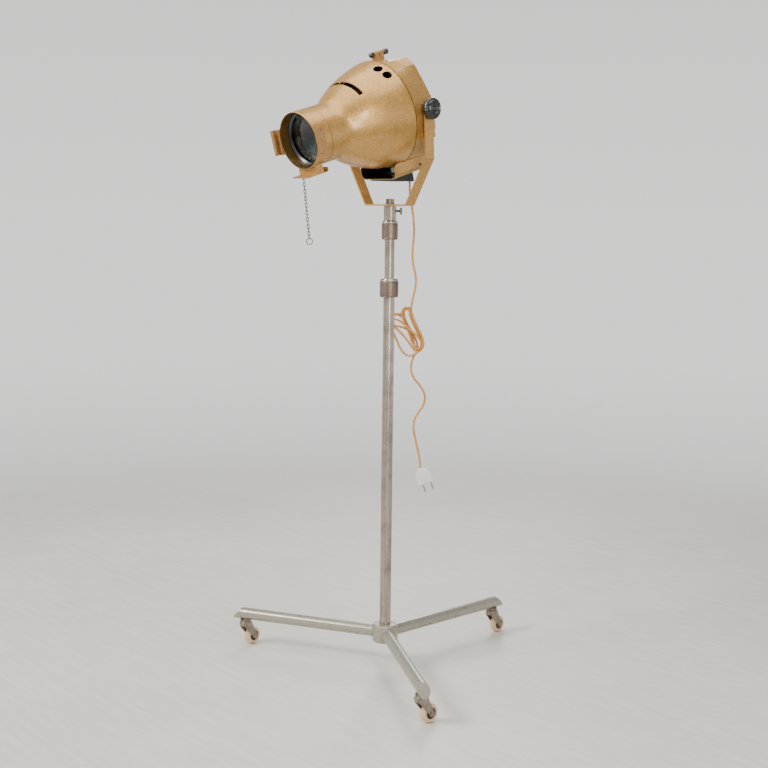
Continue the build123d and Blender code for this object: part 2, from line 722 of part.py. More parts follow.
def housing_solid(front_a, back_a, inset, back_radius):
    """Solid between the seam circle and the back panel, drawn in from the outer skin by inset."""
    angles = [angle for angle, _ in fold_lines]
    angles = angles + [360 - angle for angle in reversed(angles)]
    corners = [corner for _, corner in fold_lines]
    corners = corners + [(-x, u) for x, u in reversed(corners)]
    radius = SEAM_R - inset
    with BuildPart() as solid:
        with BuildSketch(across(front_a)):
            with BuildLine():
                for first, last in zip(angles, angles[1:] + [angles[0] + 360]):
                    arc_angles = [math.radians(t) for t in (first, (first + last) / 2, last)]
                    ThreePointArc(*[(radius * math.sin(t), radius * math.cos(t)) for t in arc_angles])
            make_face()
        with BuildSketch(across(back_a)):
            with BuildLine():
                Polyline(*corners, close=True)
            make_face()
            if inset:
                offset(amount=-inset, kind=Kind.INTERSECTION, mode=Mode.REPLACE)
        loft(ruled=True)
        fillet(solid.faces().sort_by(BEAM)[0].edges(), back_radius)
    return solid.part


housing_outside = housing_solid(SEAM_A, BACK_A, 0, 5.0)
housing_inside = housing_solid(SEAM_A + 0.01, BACK_A + HOUSING_WALL, HOUSING_WALL, 2.5)

with BuildPart() as rear_housing:
    add(housing_outside)
    # Flat bosses for the tilt studs.
    for side in (-1, 1):
        with BuildSketch(section(side * pad_x)):
            with Locations(((pad_front + pad_back) / 2, (pad_top + pad_bottom) / 2)):
                RectangleRounded(pad_front - pad_back, pad_top - pad_bottom, 5.0)
        extrude(amount=side * (pad_x - 80.0))
    add(housing_inside, mode=Mode.SUBTRACT)
    # Collar inside the seam that the bell seats on.
    with BuildSketch(across(26.0)):
        Circle(SEAM_R - HOUSING_WALL - 1.0)
        Circle(SEAM_R - HOUSING_WALL - 3.4, mode=Mode.SUBTRACT)
    extrude(amount=16.0)
    with BuildSketch(across(26.0)):
        Circle(SEAM_R - 1.5)
        Circle(SEAM_R - HOUSING_WALL - 3.4, mode=Mode.SUBTRACT)
    extrude(amount=6.0)
    # Opening over the lamp tray, from the collar back to the rear wall.
    with BuildSketch(Plane(origin=head_point(0, 0, -60.0), x_dir=SIDE, z_dir=UP * -1)):
        with Locations((0, 7.0)):
            Rectangle(92.0, 74.0)
    extrude(amount=100.0, mode=Mode.SUBTRACT)
    # Holes for the tilt studs.
    with BuildSketch(section()):
        Circle(5.0)
    extrude(amount=140.0, both=True, mode=Mode.SUBTRACT)
    # Louvre slots in the back panel.
    with BuildSketch(across(BACK_A - 2)):
        with GridLocations(0, 12.0, 1, 5):
            with Locations((0, 34.0)):
                SlotOverall(78.0, 5.0)
    extrude(amount=HOUSING_WALL + 4, mode=Mode.SUBTRACT)
save(rear_housing, "rear_housing")

# ================================================================ lamp tray
rod_x = 0.0
rod_u = -118.0
rod_r = 3.0
with BuildPart() as lamp_tray:
    with BuildSketch(across(BACK_A)):
        with BuildLine():
            Polyline((-TRAY_HALF, -95.0), (-TRAY_HALF, TRAY_FLOOR + TRAY_CORNER))
            RadiusArc(
                (-TRAY_HALF, TRAY_FLOOR + TRAY_CORNER),
                (-TRAY_HALF + TRAY_CORNER, TRAY_FLOOR),
                -TRAY_CORNER,
            )
            Line((-TRAY_HALF + TRAY_CORNER, TRAY_FLOOR), (TRAY_HALF - TRAY_CORNER, TRAY_FLOOR))
            RadiusArc(
                (TRAY_HALF - TRAY_CORNER, TRAY_FLOOR),
                (TRAY_HALF, TRAY_FLOOR + TRAY_CORNER),
                -TRAY_CORNER,
            )
            Polyline((TRAY_HALF, TRAY_FLOOR + TRAY_CORNER), (TRAY_HALF, -95.0), (-TRAY_HALF, -95.0))
        tray_face = make_face()
    extrude(amount=TRAY_FRONT_A - BACK_A)
    with BuildSketch(across(BACK_A + SHEET)):
        add(tray_face)
        offset(amount=-SHEET, kind=Kind.INTERSECTION, mode=Mode.REPLACE)
    extrude(amount=TRAY_FRONT_A - BACK_A, mode=Mode.SUBTRACT)
    with BuildSketch(across(BACK_A + SHEET)):
        with Locations((0, -95.0)):
            Rectangle(2 * (TRAY_HALF - SHEET), 12.0)
    extrude(amount=TRAY_FRONT_A - BACK_A, mode=Mode.SUBTRACT)
    # Rounded front corner of the cheeks.
    with BuildSketch(section()):
        with BuildLine():
            Polyline((TRAY_FRONT_A + 5, -90.0), (44.0, -90.0), (44.0, -99.0), (56.0, -100.5))
            ThreePointArc((56.0, -100.5), (66.0, -104.5), (TRAY_FRONT_A, -114.0))
            Polyline((TRAY_FRONT_A, -114.0), (TRAY_FRONT_A + 5, -114.0), (TRAY_FRONT_A + 5, -90.0))
        make_face()
    extrude(amount=100.0, both=True, mode=Mode.SUBTRACT)
    add(housing_outside, mode=Mode.SUBTRACT)
    # Room for the bell between the cheeks.
    with BuildSketch(turning()):
        with BuildLine():
            gap_line = [(r + 0.8, a) for r, a in bell_line[3:]]
            Polyline((0, TRAY_FRONT_A + 40), (gap_line[0][0], TRAY_FRONT_A + 40), gap_line[0])
            Spline(*gap_line)
            Polyline(gap_line[-1], (gap_line[-1][0], SEAM_A), (0, SEAM_A), (0, TRAY_FRONT_A + 40))
        make_face()
    revolve(axis=BEAM, mode=Mode.SUBTRACT)
    # Holes for the focus rod at the back and for the wires in the floor.
    with BuildSketch(across(BACK_A - 2)):
        with Locations((rod_x, rod_u)):
            Circle(rod_r + 2 * RUN_GAP)
    extrude(amount=SHEET + 4, mode=Mode.SUBTRACT)
    with BuildSketch(Plane(origin=head_point(-8.0, 0, TRAY_FLOOR - 5), x_dir=SIDE, z_dir=UP)):
        Circle(5.0)
    extrude(amount=10.0, mode=Mode.SUBTRACT)
save(lamp_tray, "lamp_tray")

# Dark wedge under the tray that holds the cord's terminals; its underside hangs level at rest.
box_left = -37.0
box_right = 26.0
box_front_a = 62.0
box_back_a = -6.0
box_front_low = TRAY_FLOOR - 4.5
box_low = box_front_low - (box_front_a - box_back_a) * math.tan(tilt)
box_wall = 2.0
gland_x = CORD_EXIT_S * math.cos(CORD_ANGLE) - CORD_DEPTH * math.sin(CORD_ANGLE)
gland_y = CORD_EXIT_S * math.sin(CORD_ANGLE) + CORD_DEPTH * math.cos(CORD_ANGLE)
gland_bottom = 1094.0
gland_shoulder = 1107.0
gland_top = 1118.0
gland_r = 5.5
gland_tip_r = 3.6
ledge_thick = 5.0
ledge_reach = 34.0
with BuildPart() as terminal_box:
    with BuildSketch(section(box_right)):
        with BuildLine():
            Polyline(
                (box_front_a, TRAY_FLOOR - 0.02),
                (box_front_a, box_front_low),
                (box_back_a, box_low),
                (box_back_a, TRAY_FLOOR - 0.02),
                close=True,
            )
        make_face()
    extrude(amount=box_right - box_left)
    chamfer(terminal_box.edges().filter_by(Axis.X).sort_by(Axis(PIVOT, UP))[0], 2.0)
    with BuildSketch(section(box_right - box_wall)):
        with BuildLine():
            Polyline(
                (box_front_a - 16.0, TRAY_FLOOR - 0.01),
                (box_front_a - 16.0, box_front_low - 1.5),
                (box_back_a + box_wall, box_low + box_wall + 2.0),
                (box_back_a + box_wall, TRAY_FLOOR - 0.01),
                close=True,
            )
        make_face()
    extrude(amount=box_right - box_left - 2 * box_wall, mode=Mode.SUBTRACT)
    # Ledge at the back for the cord gland.
    with BuildSketch(across(box_back_a)):
        with Locations((gland_x, TRAY_FLOOR - ledge_thick / 2 - 0.02)):
            Rectangle(20.0, ledge_thick)
    extrude(amount=-ledge_reach)
    with BuildSketch(Plane(origin=(gland_x, gland_y, gland_top))):
        Circle(gland_r)
    extrude(amount=-60.0, mode=Mode.SUBTRACT)
save(terminal_box, "terminal_box")

with BuildPart() as cord_gland:
    with BuildSketch(Plane.XY.offset(gland_bottom)):
        with Locations((gland_x, gland_y)):
            Circle(gland_tip_r)
    with BuildSketch(Plane.XY.offset(gland_shoulder)):
        with Locations((gland_x, gland_y)):
            Circle(gland_r)
    loft()
    with BuildSketch(Plane.XY.offset(gland_shoulder)):
        with Locations((gland_x, gland_y)):
            Circle(gland_r)
    extrude(amount=gland_top - gland_shoulder)
    with BuildSketch(Plane.XY.offset(gland_bottom)):
        with Locations((gland_x, gland_y)):
            Circle(CORD_R)
    extrude(amount=10.0, mode=Mode.SUBTRACT)
save(cord_gland, "cord_gland")

with BuildPart() as tray_screws:
    for side in (-1, 1):
        with BuildSketch(section(side * TRAY_HALF)):
            with Locations((-6.0, -119.0)):
                Circle(3.2)
        extrude(amount=-side * 1.8, taper=15)
save(tray_screws, "tray_screws")

# ================================================================ lamp carriage
carriage_floor = TRAY_FLOOR + SHEET + 0.3
holder_r = 16.5
holder_low = carriage_floor + 3.0
holder_top = -84.0
cap_r = 13.0
bulb_neck_u = -62.0
reflector_r = 32.0
reflector_half_angle = 48.0
mirror_strip_top = -22.3
carriage_back = LAMP_A - 26.0
knob_front_a = -79.0

with BuildPart() as carriage:
    with BuildSketch(Plane(origin=head_point(LAMP_A - 4.0, 0, carriage_floor), x_dir=SIDE, z_dir=UP)):
        RectangleRounded(76.0, 44.0, 4.0)
    extrude(amount=3.0)
    with BuildSketch(across(carriage_back)):
        with Locations((0, rod_u - 1.0)):
            Rectangle(14.0, 18.0)
    extrude(amount=3.0)
    # Narrow strip that carries the mirror.
    with BuildSketch(across(carriage_back + 0.4)):
        with Locations((0, (mirror_strip_top + carriage_floor) / 2)):
            Rectangle(10.0, mirror_strip_top - carriage_floor)
    extrude(amount=0.8)
    with BuildSketch(across(carriage_back - 5.0)):
        with Locations((rod_x, rod_u)):
            Circle(rod_r)
    extrude(amount=10.0, mode=Mode.SUBTRACT)
save(carriage, "focus_carriage")

with BuildPart() as lampholder:
    with BuildSketch(Plane(origin=head_point(LAMP_A, 0, holder_low), x_dir=SIDE, z_dir=UP)):
        Circle(holder_r)
    extrude(amount=holder_top - holder_low)
    fillet(lampholder.faces().sort_by(Axis(PIVOT, UP))[-1].edges(), 2.0)
    with BuildSketch(Plane(origin=head_point(LAMP_A, 0, holder_low + 8), x_dir=SIDE, z_dir=UP)):
        Circle(cap_r + 0.1)
    extrude(amount=60, mode=Mode.SUBTRACT)
save(lampholder, "lampholder")

# Lamp: screw cap and clear globe, standing on its cap.
lamp_axis = Axis(head_point(LAMP_A, 0, 0), UP)
lamp_plane = Plane(origin=head_point(LAMP_A, 0, 0), x_dir=SIDE, z_dir=FORWARD)
with BuildPart() as lamp_cap:
    with BuildSketch(lamp_plane):
        with BuildLine():
            Polyline(
                (0, holder_low + 10.0),
                (4.5, holder_low + 10.0),
                (cap_r, holder_low + 15.0),
                (cap_r, bulb_neck_u - 4.0),
                (cap_r - 1.2, bulb_neck_u - 4.0),
                (cap_r - 1.2, holder_low + 17.0),
                (0, holder_low + 17.0),
                close=True,
            )
        make_face()
    revolve(axis=lamp_axis)
save(lamp_cap, "lamp_cap")

with BuildPart() as lamp_globe:
    with BuildSketch(lamp_plane):
        with BuildLine():
            neck = (cap_r - 1.4, bulb_neck_u)
            outer_globe = [neck, (BULB_R - 4.5, -16.0), (BULB_R, 0)]
            Spline(*outer_globe, tangents=[(0.1, 1), (0, 1)])
            ThreePointArc(
                (BULB_R, 0),
                (BULB_R * math.sin(math.pi / 4), BULB_R * math.cos(math.pi / 4)),
                (0, BULB_R),
            )
            Line((0, BULB_R), (0, BULB_R - 1.0))
            inner_r = BULB_R - 1.0
            ThreePointArc(
                (0, inner_r),
                (inner_r * math.sin(math.pi / 4), inner_r * math.cos(math.pi / 4)),
                (inner_r, 0),
            )
            Spline(
                (inner_r, 0),
                (BULB_R - 5.5, -16.0),
                (neck[0] - 1.0, bulb_neck_u),
                tangents=[(0, -1), (-0.1, -1)],
            )
            Polyline(
                (neck[0] - 1.0, bulb_neck_u),
                (neck[0] - 1.0, bulb_neck_u - 8),
                (neck[0], bulb_neck_u - 8),
                neck,
            )
        make_face()
    revolve(axis=lamp_axis)
save(lamp_globe, "lamp_globe")

# Spherical mirror behind the globe.
with BuildPart() as reflector:
    with BuildSketch(turning()):
        with BuildLine():
            half = math.radians(reflector_half_angle)
            arcs = []
            for radius in (reflector_r, reflector_r + 1.2):
                arcs.append(
                    [
                        (radius * math.sin(t), LAMP_A - radius * math.cos(t))
                        for t in (0, half / 2, half)
                    ]
                )
            ThreePointArc(*arcs[0])
            Line(arcs[0][2], arcs[1][2])
            ThreePointArc(*reversed(arcs[1]))
            Line(arcs[1][0], arcs[0][0])
        make_face()
    revolve(axis=BEAM)
save(reflector, "reflector")

with BuildPart() as focus_rod:
    with BuildSketch(across(carriage_back + 3.0)):
        with Locations((rod_x, rod_u)):
            Circle(rod_r)
    extrude(amount=knob_front_a - 8.0 - (carriage_back + 3.0))
save(focus_rod, "focus_rod")

with BuildPart() as focus_knob:
    with BuildSketch(across(knob_front_a)):
        with Locations((rod_x, rod_u)):
            Circle(9.0)
    extrude(amount=-13.0)
    fillet(focus_knob.edges().filter_by(GeomType.CIRCLE), 2.0)
    with BuildSketch(across(knob_front_a)):
        with Locations((rod_x, rod_u)):
            Circle(rod_r)
    extrude(amount=-8.0, mode=Mode.SUBTRACT)
save(focus_knob, "focus_knob")

# ================================================================ catch on top
catch_u = 124.0
catch_back = -8.0
catch_front = 17.0
with BuildPart() as catch_lug:
    with BuildSketch(across(catch_back)):
        with BuildLine():
            Polyline((-6.0, 100.0), (-6.0, catch_u))
            ThreePointArc((-6.0, catch_u), (0, catch_u + 6.0), (6.0, catch_u))
            Polyline((6.0, catch_u), (6.0, 100.0), (-6.0, 100.0))
        make_face()
        with Locations((0, catch_u)):
            Circle(3.05, mode=Mode.SUBTRACT)
    extrude(amount=catch_front - catch_back)
    with BuildSketch(across(3.0)):
        with Locations((0, catch_u)):
            Rectangle(20.0, 14.0)
            Circle(4.6, mode=Mode.SUBTRACT)
    extrude(amount=1.8, mode=Mode.SUBTRACT)
    add(housing_outside, mode=Mode.SUBTRACT)
save(catch_lug, "catch_lug")

with BuildPart() as catch_screw:
    with BuildSketch(across(catch_front + 9.0)):
        with Locations((0, catch_u)):
            Circle(3.0)
    extrude(amount=-(catch_front + 9.0 - catch_back + 16.0))
    with BuildSketch(across(catch_front + 0.3)):
        with Locations((0, catch_u)):
            Circle(5.5)
    extrude(amount=8.0)
    with BuildSketch(across(catch_back - 0.3)):
        with Locations((0, catch_u)):
            Circle(4.5)
    extrude(amount=-4.0)
    with BuildSketch(across(catch_back - 4.0)):
        with Locations((0, catch_u)):
            Circle(6.2)
    extrude(amount=-13.0)
    chamfer(catch_screw.edges().filter_by(GeomType.CIRCLE).filter_by(lambda e: e.radius > 5), 0.8)
save(catch_screw, "catch_screw")

# ================================================================ tilt pivot
stud_r = 5.0
stud_inner_x = 96.0
stud_outer_x = 132.0
spacer_end = 116.4
washer_start = 121.6
knob_start = 122.9


def pivot_plane(side, x):
    """Plane square to the pivot axis, x from the middle of the head on the given side."""
    return Plane(origin=PIVOT + SIDE * (side * x), x_dir=UP, z_dir=SIDE * side)


with BuildPart() as tilt_studs:
    for side in (-1, 1):
        with BuildSketch(pivot_plane(side, stud_inner_x + 4.0)):
            Circle(stud_r)
        extrude(amount=stud_outer_x - stud_inner_x - 4.0)
        with BuildSketch(pivot_plane(side, stud_inner_x)):
            RegularPolygon(radius=8.5, side_count=6, major_radius=False)
        extrude(amount=4.0)
save(tilt_studs, "tilt_studs")

# A thick friction washer inside each yoke arm and a thin one under each knob.
with BuildPart() as tilt_washers:
    for side in (-1, 1):
        for start_x, end_x, radius in ((pad_x, spacer_end, 12.0), (washer_start, knob_start - 0.1, 11.0)):
            with BuildSketch(pivot_plane(side, start_x)):
                Circle(radius)
                Circle(stud_r + 0.02, mode=Mode.SUBTRACT)
            extrude(amount=end_x - start_x)
save(tilt_washers, "tilt_washers")

for name, side in (("left", -1), ("right", 1)):
    with BuildPart() as knob:
        with BuildSketch(Plane(origin=PIVOT, x_dir=UP, z_dir=FORWARD * -side)):
            with BuildLine():
                start_x = knob_start
                Polyline((stud_r + RUN_GAP, start_x), (KNOB_R - 4.0, start_x), (KNOB_R - 1.0, start_x + 1.5))
                ThreePointArc(
                    (KNOB_R - 1.0, start_x + 1.5),
                    (KNOB_R, start_x + 6.5),
                    (KNOB_R - 1.0, start_x + 11.5),
                )
                Polyline(
                    (KNOB_R - 1.0, start_x + 11.5),
                    (KNOB_R - 3.0, start_x + 13.0),
                    (KNOB_R - 5.0, start_x + 13.5),
                    (KNOB_R - 6.0, start_x + 16.0),
                    (10.5, start_x + 16.5),
                    (9.5, start_x + 14.5),
                    (0, start_x + 14.5),
                    (0, start_x + 10.0),
                    (stud_r + RUN_GAP, start_x + 10.0),
                    (stud_r + RUN_GAP, start_x),
                )
            make_face()
        revolve(axis=Axis(PIVOT, SIDE * side))
    save(knob, f"tilt_knob_{name}")

# ================================================================ mains cord
# The cord hangs in an upright plane behind the mast: s runs across it, z is height.
stub_end_z = 1080.0
# Room for the head's end of the cord to swing past the hanging end as the lamp tilts.
cord_break = 3.3
drop_route = [
    (CORD_EXIT_S, gland_bottom),
    (CORD_EXIT_S, 1068.0),
    (49.0, 1036.0),
    (54.5, 998.0),
    (54.0, 966.0),
    (51.0, 938.0),
    (52.5, 911.0),
    (59.5, 886.0),
    (60.5, 862.0),
    (54.5, 838.0),
    (46.0, 816.0),
]
tail_route = [
    (66.0, 716.0),
    (54.5, 696.0),
    (50.5, 673.0),
    (58.0, 652.0),
    (74.0, 635.0),
    (85.5, 615.0),
    (83.0, 593.0),
    (70.0, 575.0),
    (60.0, 557.0),
    (59.0, 535.0),
    (64.5, 511.0),
    (70.5, 487.0),
    (75.0, 464.0),
    (76.0, 447.0),
]
hank_outline = [
    (38.0, 820.0),
    (56.0, 818.0),
    (73.0, 772.0),
    (88.0, 742.0),
    (85.0, 716.0),
    (64.0, 700.0),
    (44.0, 699.0),
    (28.0, 712.0),
    (8.0, 768.0),
    (8.0, 796.0),
    (26.0, 808.0),
]
hank_thick = 26.0


def cord_point(s, z, depth=CORD_DEPTH):
    """World place of a point of the cord's hanging plane."""
    return Vector(
        s * math.cos(CORD_ANGLE) - depth * math.sin(CORD_ANGLE),
        s * math.sin(CORD_ANGLE) + depth * math.cos(CORD_ANGLE),
        z,
    )


def corner_radii(points):
    """Largest tangent arc that fits each corner of a route."""
    radii = []
    for before, here, after in zip(points, points[1:], points[2:]):
        turn = math.radians((here - before).get_angle(after - here))
        shorter = min((here - before).length, (after - here).length)
        radii.append(0.45 * shorter / math.tan(turn / 2))
    return radii


def cord_tube(points, label):
    """Plain tube along a route of straight runs joined by tangent arcs."""
    with BuildLine(mode=Mode.PRIVATE) as path:
        FilletPolyline(*points, radius=corner_radii(points))
    with BuildPart() as tube:
        with BuildSketch(Plane(origin=points[0], z_dir=points[1] - points[0])):
            Circle(CORD_R)
        sweep(path=path.wires()[0])
    save(tube, label)


drop_points = [cord_point(s, z) for s, z in drop_route]
stub_end = Vector(drop_points[0].X, drop_points[0].Y, stub_end_z)
with BuildPart() as cord_stub:
    with BuildSketch(Plane(origin=stub_end)):
        Circle(CORD_R)
    extrude(amount=gland_bottom + 10.0 - stub_end_z)
save(cord_stub, "cord_stub")
cord_tube([stub_end - Vector(0, 0, cord_break)] + drop_points[1:], "cord_drop")
cord_tube([cord_point(s, z) for s, z in tail_route], "cord_tail")

hang_across = (cord_point(1, 0) - cord_point(0, 0)).normalized()
hang_plane = Plane(origin=cord_point(0, 0), x_dir=hang_across, z_dir=hang_across.cross(Vector(0, 0, 1)))
with BuildPart() as cord_hank:
    with BuildSketch(hang_plane) as hank_sketch:
        with BuildLine():
            Polyline(*hank_outline, close=True)
        make_face()
        fillet(hank_sketch.vertices(), 4.0)
    extrude(amount=hank_thick / 2, both=True)
save(cord_hank, "cord_hank")

# ================================================================ mains plug
plug_entry = (76.0, 447.0)
plug_lean = math.radians(23.0)
plug_length = 38.5
plug_thick = 15.0
pin_root = 6.0
plug_axis = (cord_point(math.sin(plug_lean), -math.cos(plug_lean)) - cord_point(0, 0)).normalized()
plug_across = (cord_point(math.cos(plug_lean), math.sin(plug_lean)) - cord_point(0, 0)).normalized()
plug_start = cord_point(*plug_entry)
plug_face = Plane(origin=plug_start, x_dir=plug_across, z_dir=plug_across.cross(plug_axis))
plug_end_plane = Plane(origin=plug_start + plug_axis * plug_length, x_dir=plug_across, z_dir=plug_axis)
with BuildPart() as plug_body:
    with BuildSketch(plug_face):
        with BuildLine():
            Polyline((-6.0, 0), (-7.0, 5.0))
            ThreePointArc((-7.0, 5.0), (-14.5, 10.5), (-17.8, 20.0))
            Polyline((-17.8, 20.0), (-17.8, plug_length), (17.8, plug_length), (17.8, 20.0))
            ThreePointArc((17.8, 20.0), (14.5, 10.5), (7.0, 5.0))
            Polyline((7.0, 5.0), (6.0, 0), (-6.0, 0))
        make_face()
    extrude(amount=plug_thick / 2, both=True)
    fillet(plug_body.edges().filter_by(Axis(plug_start, plug_face.z_dir), reverse=True), 2.5)
    for side in (-1, 1):
        with BuildSketch(plug_end_plane):
            with Locations((side * PIN_SPACING / 2, 0)):
                Circle(PIN_R + 0.6)
        extrude(amount=-pin_root, mode=Mode.SUBTRACT)
    with BuildSketch(plug_face.offset(plug_thick / 2)):
        with Locations((0, 19.0)):
            Circle(3.0)
    extrude(amount=-3.0, mode=Mode.SUBTRACT)
save(plug_body, "plug_body")

with BuildPart() as plug_screw:
    with BuildSketch(plug_face.offset(plug_thick / 2 - 3.0)):
        with Locations((0, 19.0)):
            Circle(2.9)
    extrude(amount=1.8)
    with BuildSketch(plug_face.offset(plug_thick / 2 - 1.8)):
        with Locations((0, 19.0)):
            Rectangle(6.0, 0.8)
    extrude(amount=1.0, mode=Mode.SUBTRACT)
save(plug_screw, "plug_screw")

with BuildPart() as plug_pins:
    for side in (-1, 1):
        with BuildSketch(plug_end_plane):
            with Locations((side * PIN_SPACING / 2, 0)):
                Circle(PIN_R)
        extrude(amount=PIN_LENGTH)
        with BuildSketch(plug_end_plane):
            with Locations((side * PIN_SPACING / 2, 0)):
                Circle(PIN_R + 0.6)
        extrude(amount=-pin_root)
    fillet(plug_pins.faces().group_by(Axis(plug_start, plug_axis))[-1].edges(), 1.0)
save(plug_pins, "plug_pins")
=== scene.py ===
import math
import bmesh
import bpy
from mathutils import Matrix, Vector, noise


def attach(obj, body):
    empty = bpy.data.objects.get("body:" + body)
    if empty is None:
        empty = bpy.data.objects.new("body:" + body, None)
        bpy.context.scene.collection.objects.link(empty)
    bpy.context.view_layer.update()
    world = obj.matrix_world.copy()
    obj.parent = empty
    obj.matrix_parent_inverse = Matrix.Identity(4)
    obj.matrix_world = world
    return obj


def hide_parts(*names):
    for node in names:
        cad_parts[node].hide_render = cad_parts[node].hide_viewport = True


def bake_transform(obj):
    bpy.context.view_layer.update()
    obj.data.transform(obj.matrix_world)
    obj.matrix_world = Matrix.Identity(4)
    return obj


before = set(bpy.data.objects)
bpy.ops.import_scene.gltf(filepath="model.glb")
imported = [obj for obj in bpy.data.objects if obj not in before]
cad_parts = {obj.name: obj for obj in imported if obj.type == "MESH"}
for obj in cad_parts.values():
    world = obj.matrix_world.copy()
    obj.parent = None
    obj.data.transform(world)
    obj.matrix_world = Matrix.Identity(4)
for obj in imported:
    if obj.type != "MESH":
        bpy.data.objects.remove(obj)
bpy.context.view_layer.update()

MM = 0.001

# ---------------------------------------------------------------- directions of the head at rest
TILT = math.radians(16.4)
PIVOT = Vector((0.0, -0.003, 1.240))
FORWARD = Vector((0.0, -math.cos(TILT), -math.sin(TILT)))
UP = Vector((0.0, -math.sin(TILT), math.cos(TILT)))
SIDE = Vector((1.0, 0.0, 0.0))
CORD_ANGLE = math.radians(48.0)
CORD_DEPTH = 57.6
CORD_EXIT_S = 43.1
GLAND_LOW = 1094.0
GLAND_SHOULDER = 1107.0
LEG_ANGLES = {"left": 207.0, "front": -30.0, "rear": 90.0}
LEG_R = 13.5
LEG_Z = 78.0
HUB_R = 29.0


def head_point(a, x, u):
    """Row-frame place, in metres, of a point given in millimetres along the head's own directions."""
    return PIVOT + (FORWARD * a + SIDE * x + UP * u) * MM


def cord_point(s, z, extra=0.0):
    """Row-frame place of a point of the upright plane that the cord hangs in, in metres."""
    depth = CORD_DEPTH + extra
    across = s * math.cos(CORD_ANGLE) - depth * math.sin(CORD_ANGLE)
    along = s * math.sin(CORD_ANGLE) + depth * math.cos(CORD_ANGLE)
    return Vector((across, along, z)) * MM


# ================================================================ camera
def make_camera():
    distance, azimuth, height = 2.8799, math.radians(47.91), 1.0339
    pitch, roll, sideways = math.radians(7.66), math.radians(0.67), -0.00874
    focal_px, frame_px, sensor = 1310.7, 768.0, 36.0
    right = Vector((math.cos(azimuth), math.sin(azimuth), 0.0))
    place = Vector((distance * math.sin(azimuth), -distance * math.cos(azimuth), height)) + right * sideways
    look = Vector((
        -math.sin(azimuth) * math.cos(pitch),
        math.cos(azimuth) * math.cos(pitch),
        -math.sin(pitch),
    ))
    up = right.cross(look)
    turned_right = right * math.cos(roll) + up * math.sin(roll)
    turned_up = up * math.cos(roll) - right * math.sin(roll)
    camera = bpy.data.objects.new("camera", bpy.data.cameras.new("camera"))
    bpy.context.scene.collection.objects.link(camera)
    basis = Matrix((turned_right, turned_up, -look)).transposed().to_4x4()
    camera.matrix_world = Matrix.Translation(place) @ basis
    camera.data.sensor_width = sensor
    camera.data.lens = focal_px / frame_px * sensor
    camera.data.clip_start = 0.05
    bpy.context.scene.camera = camera


make_camera()


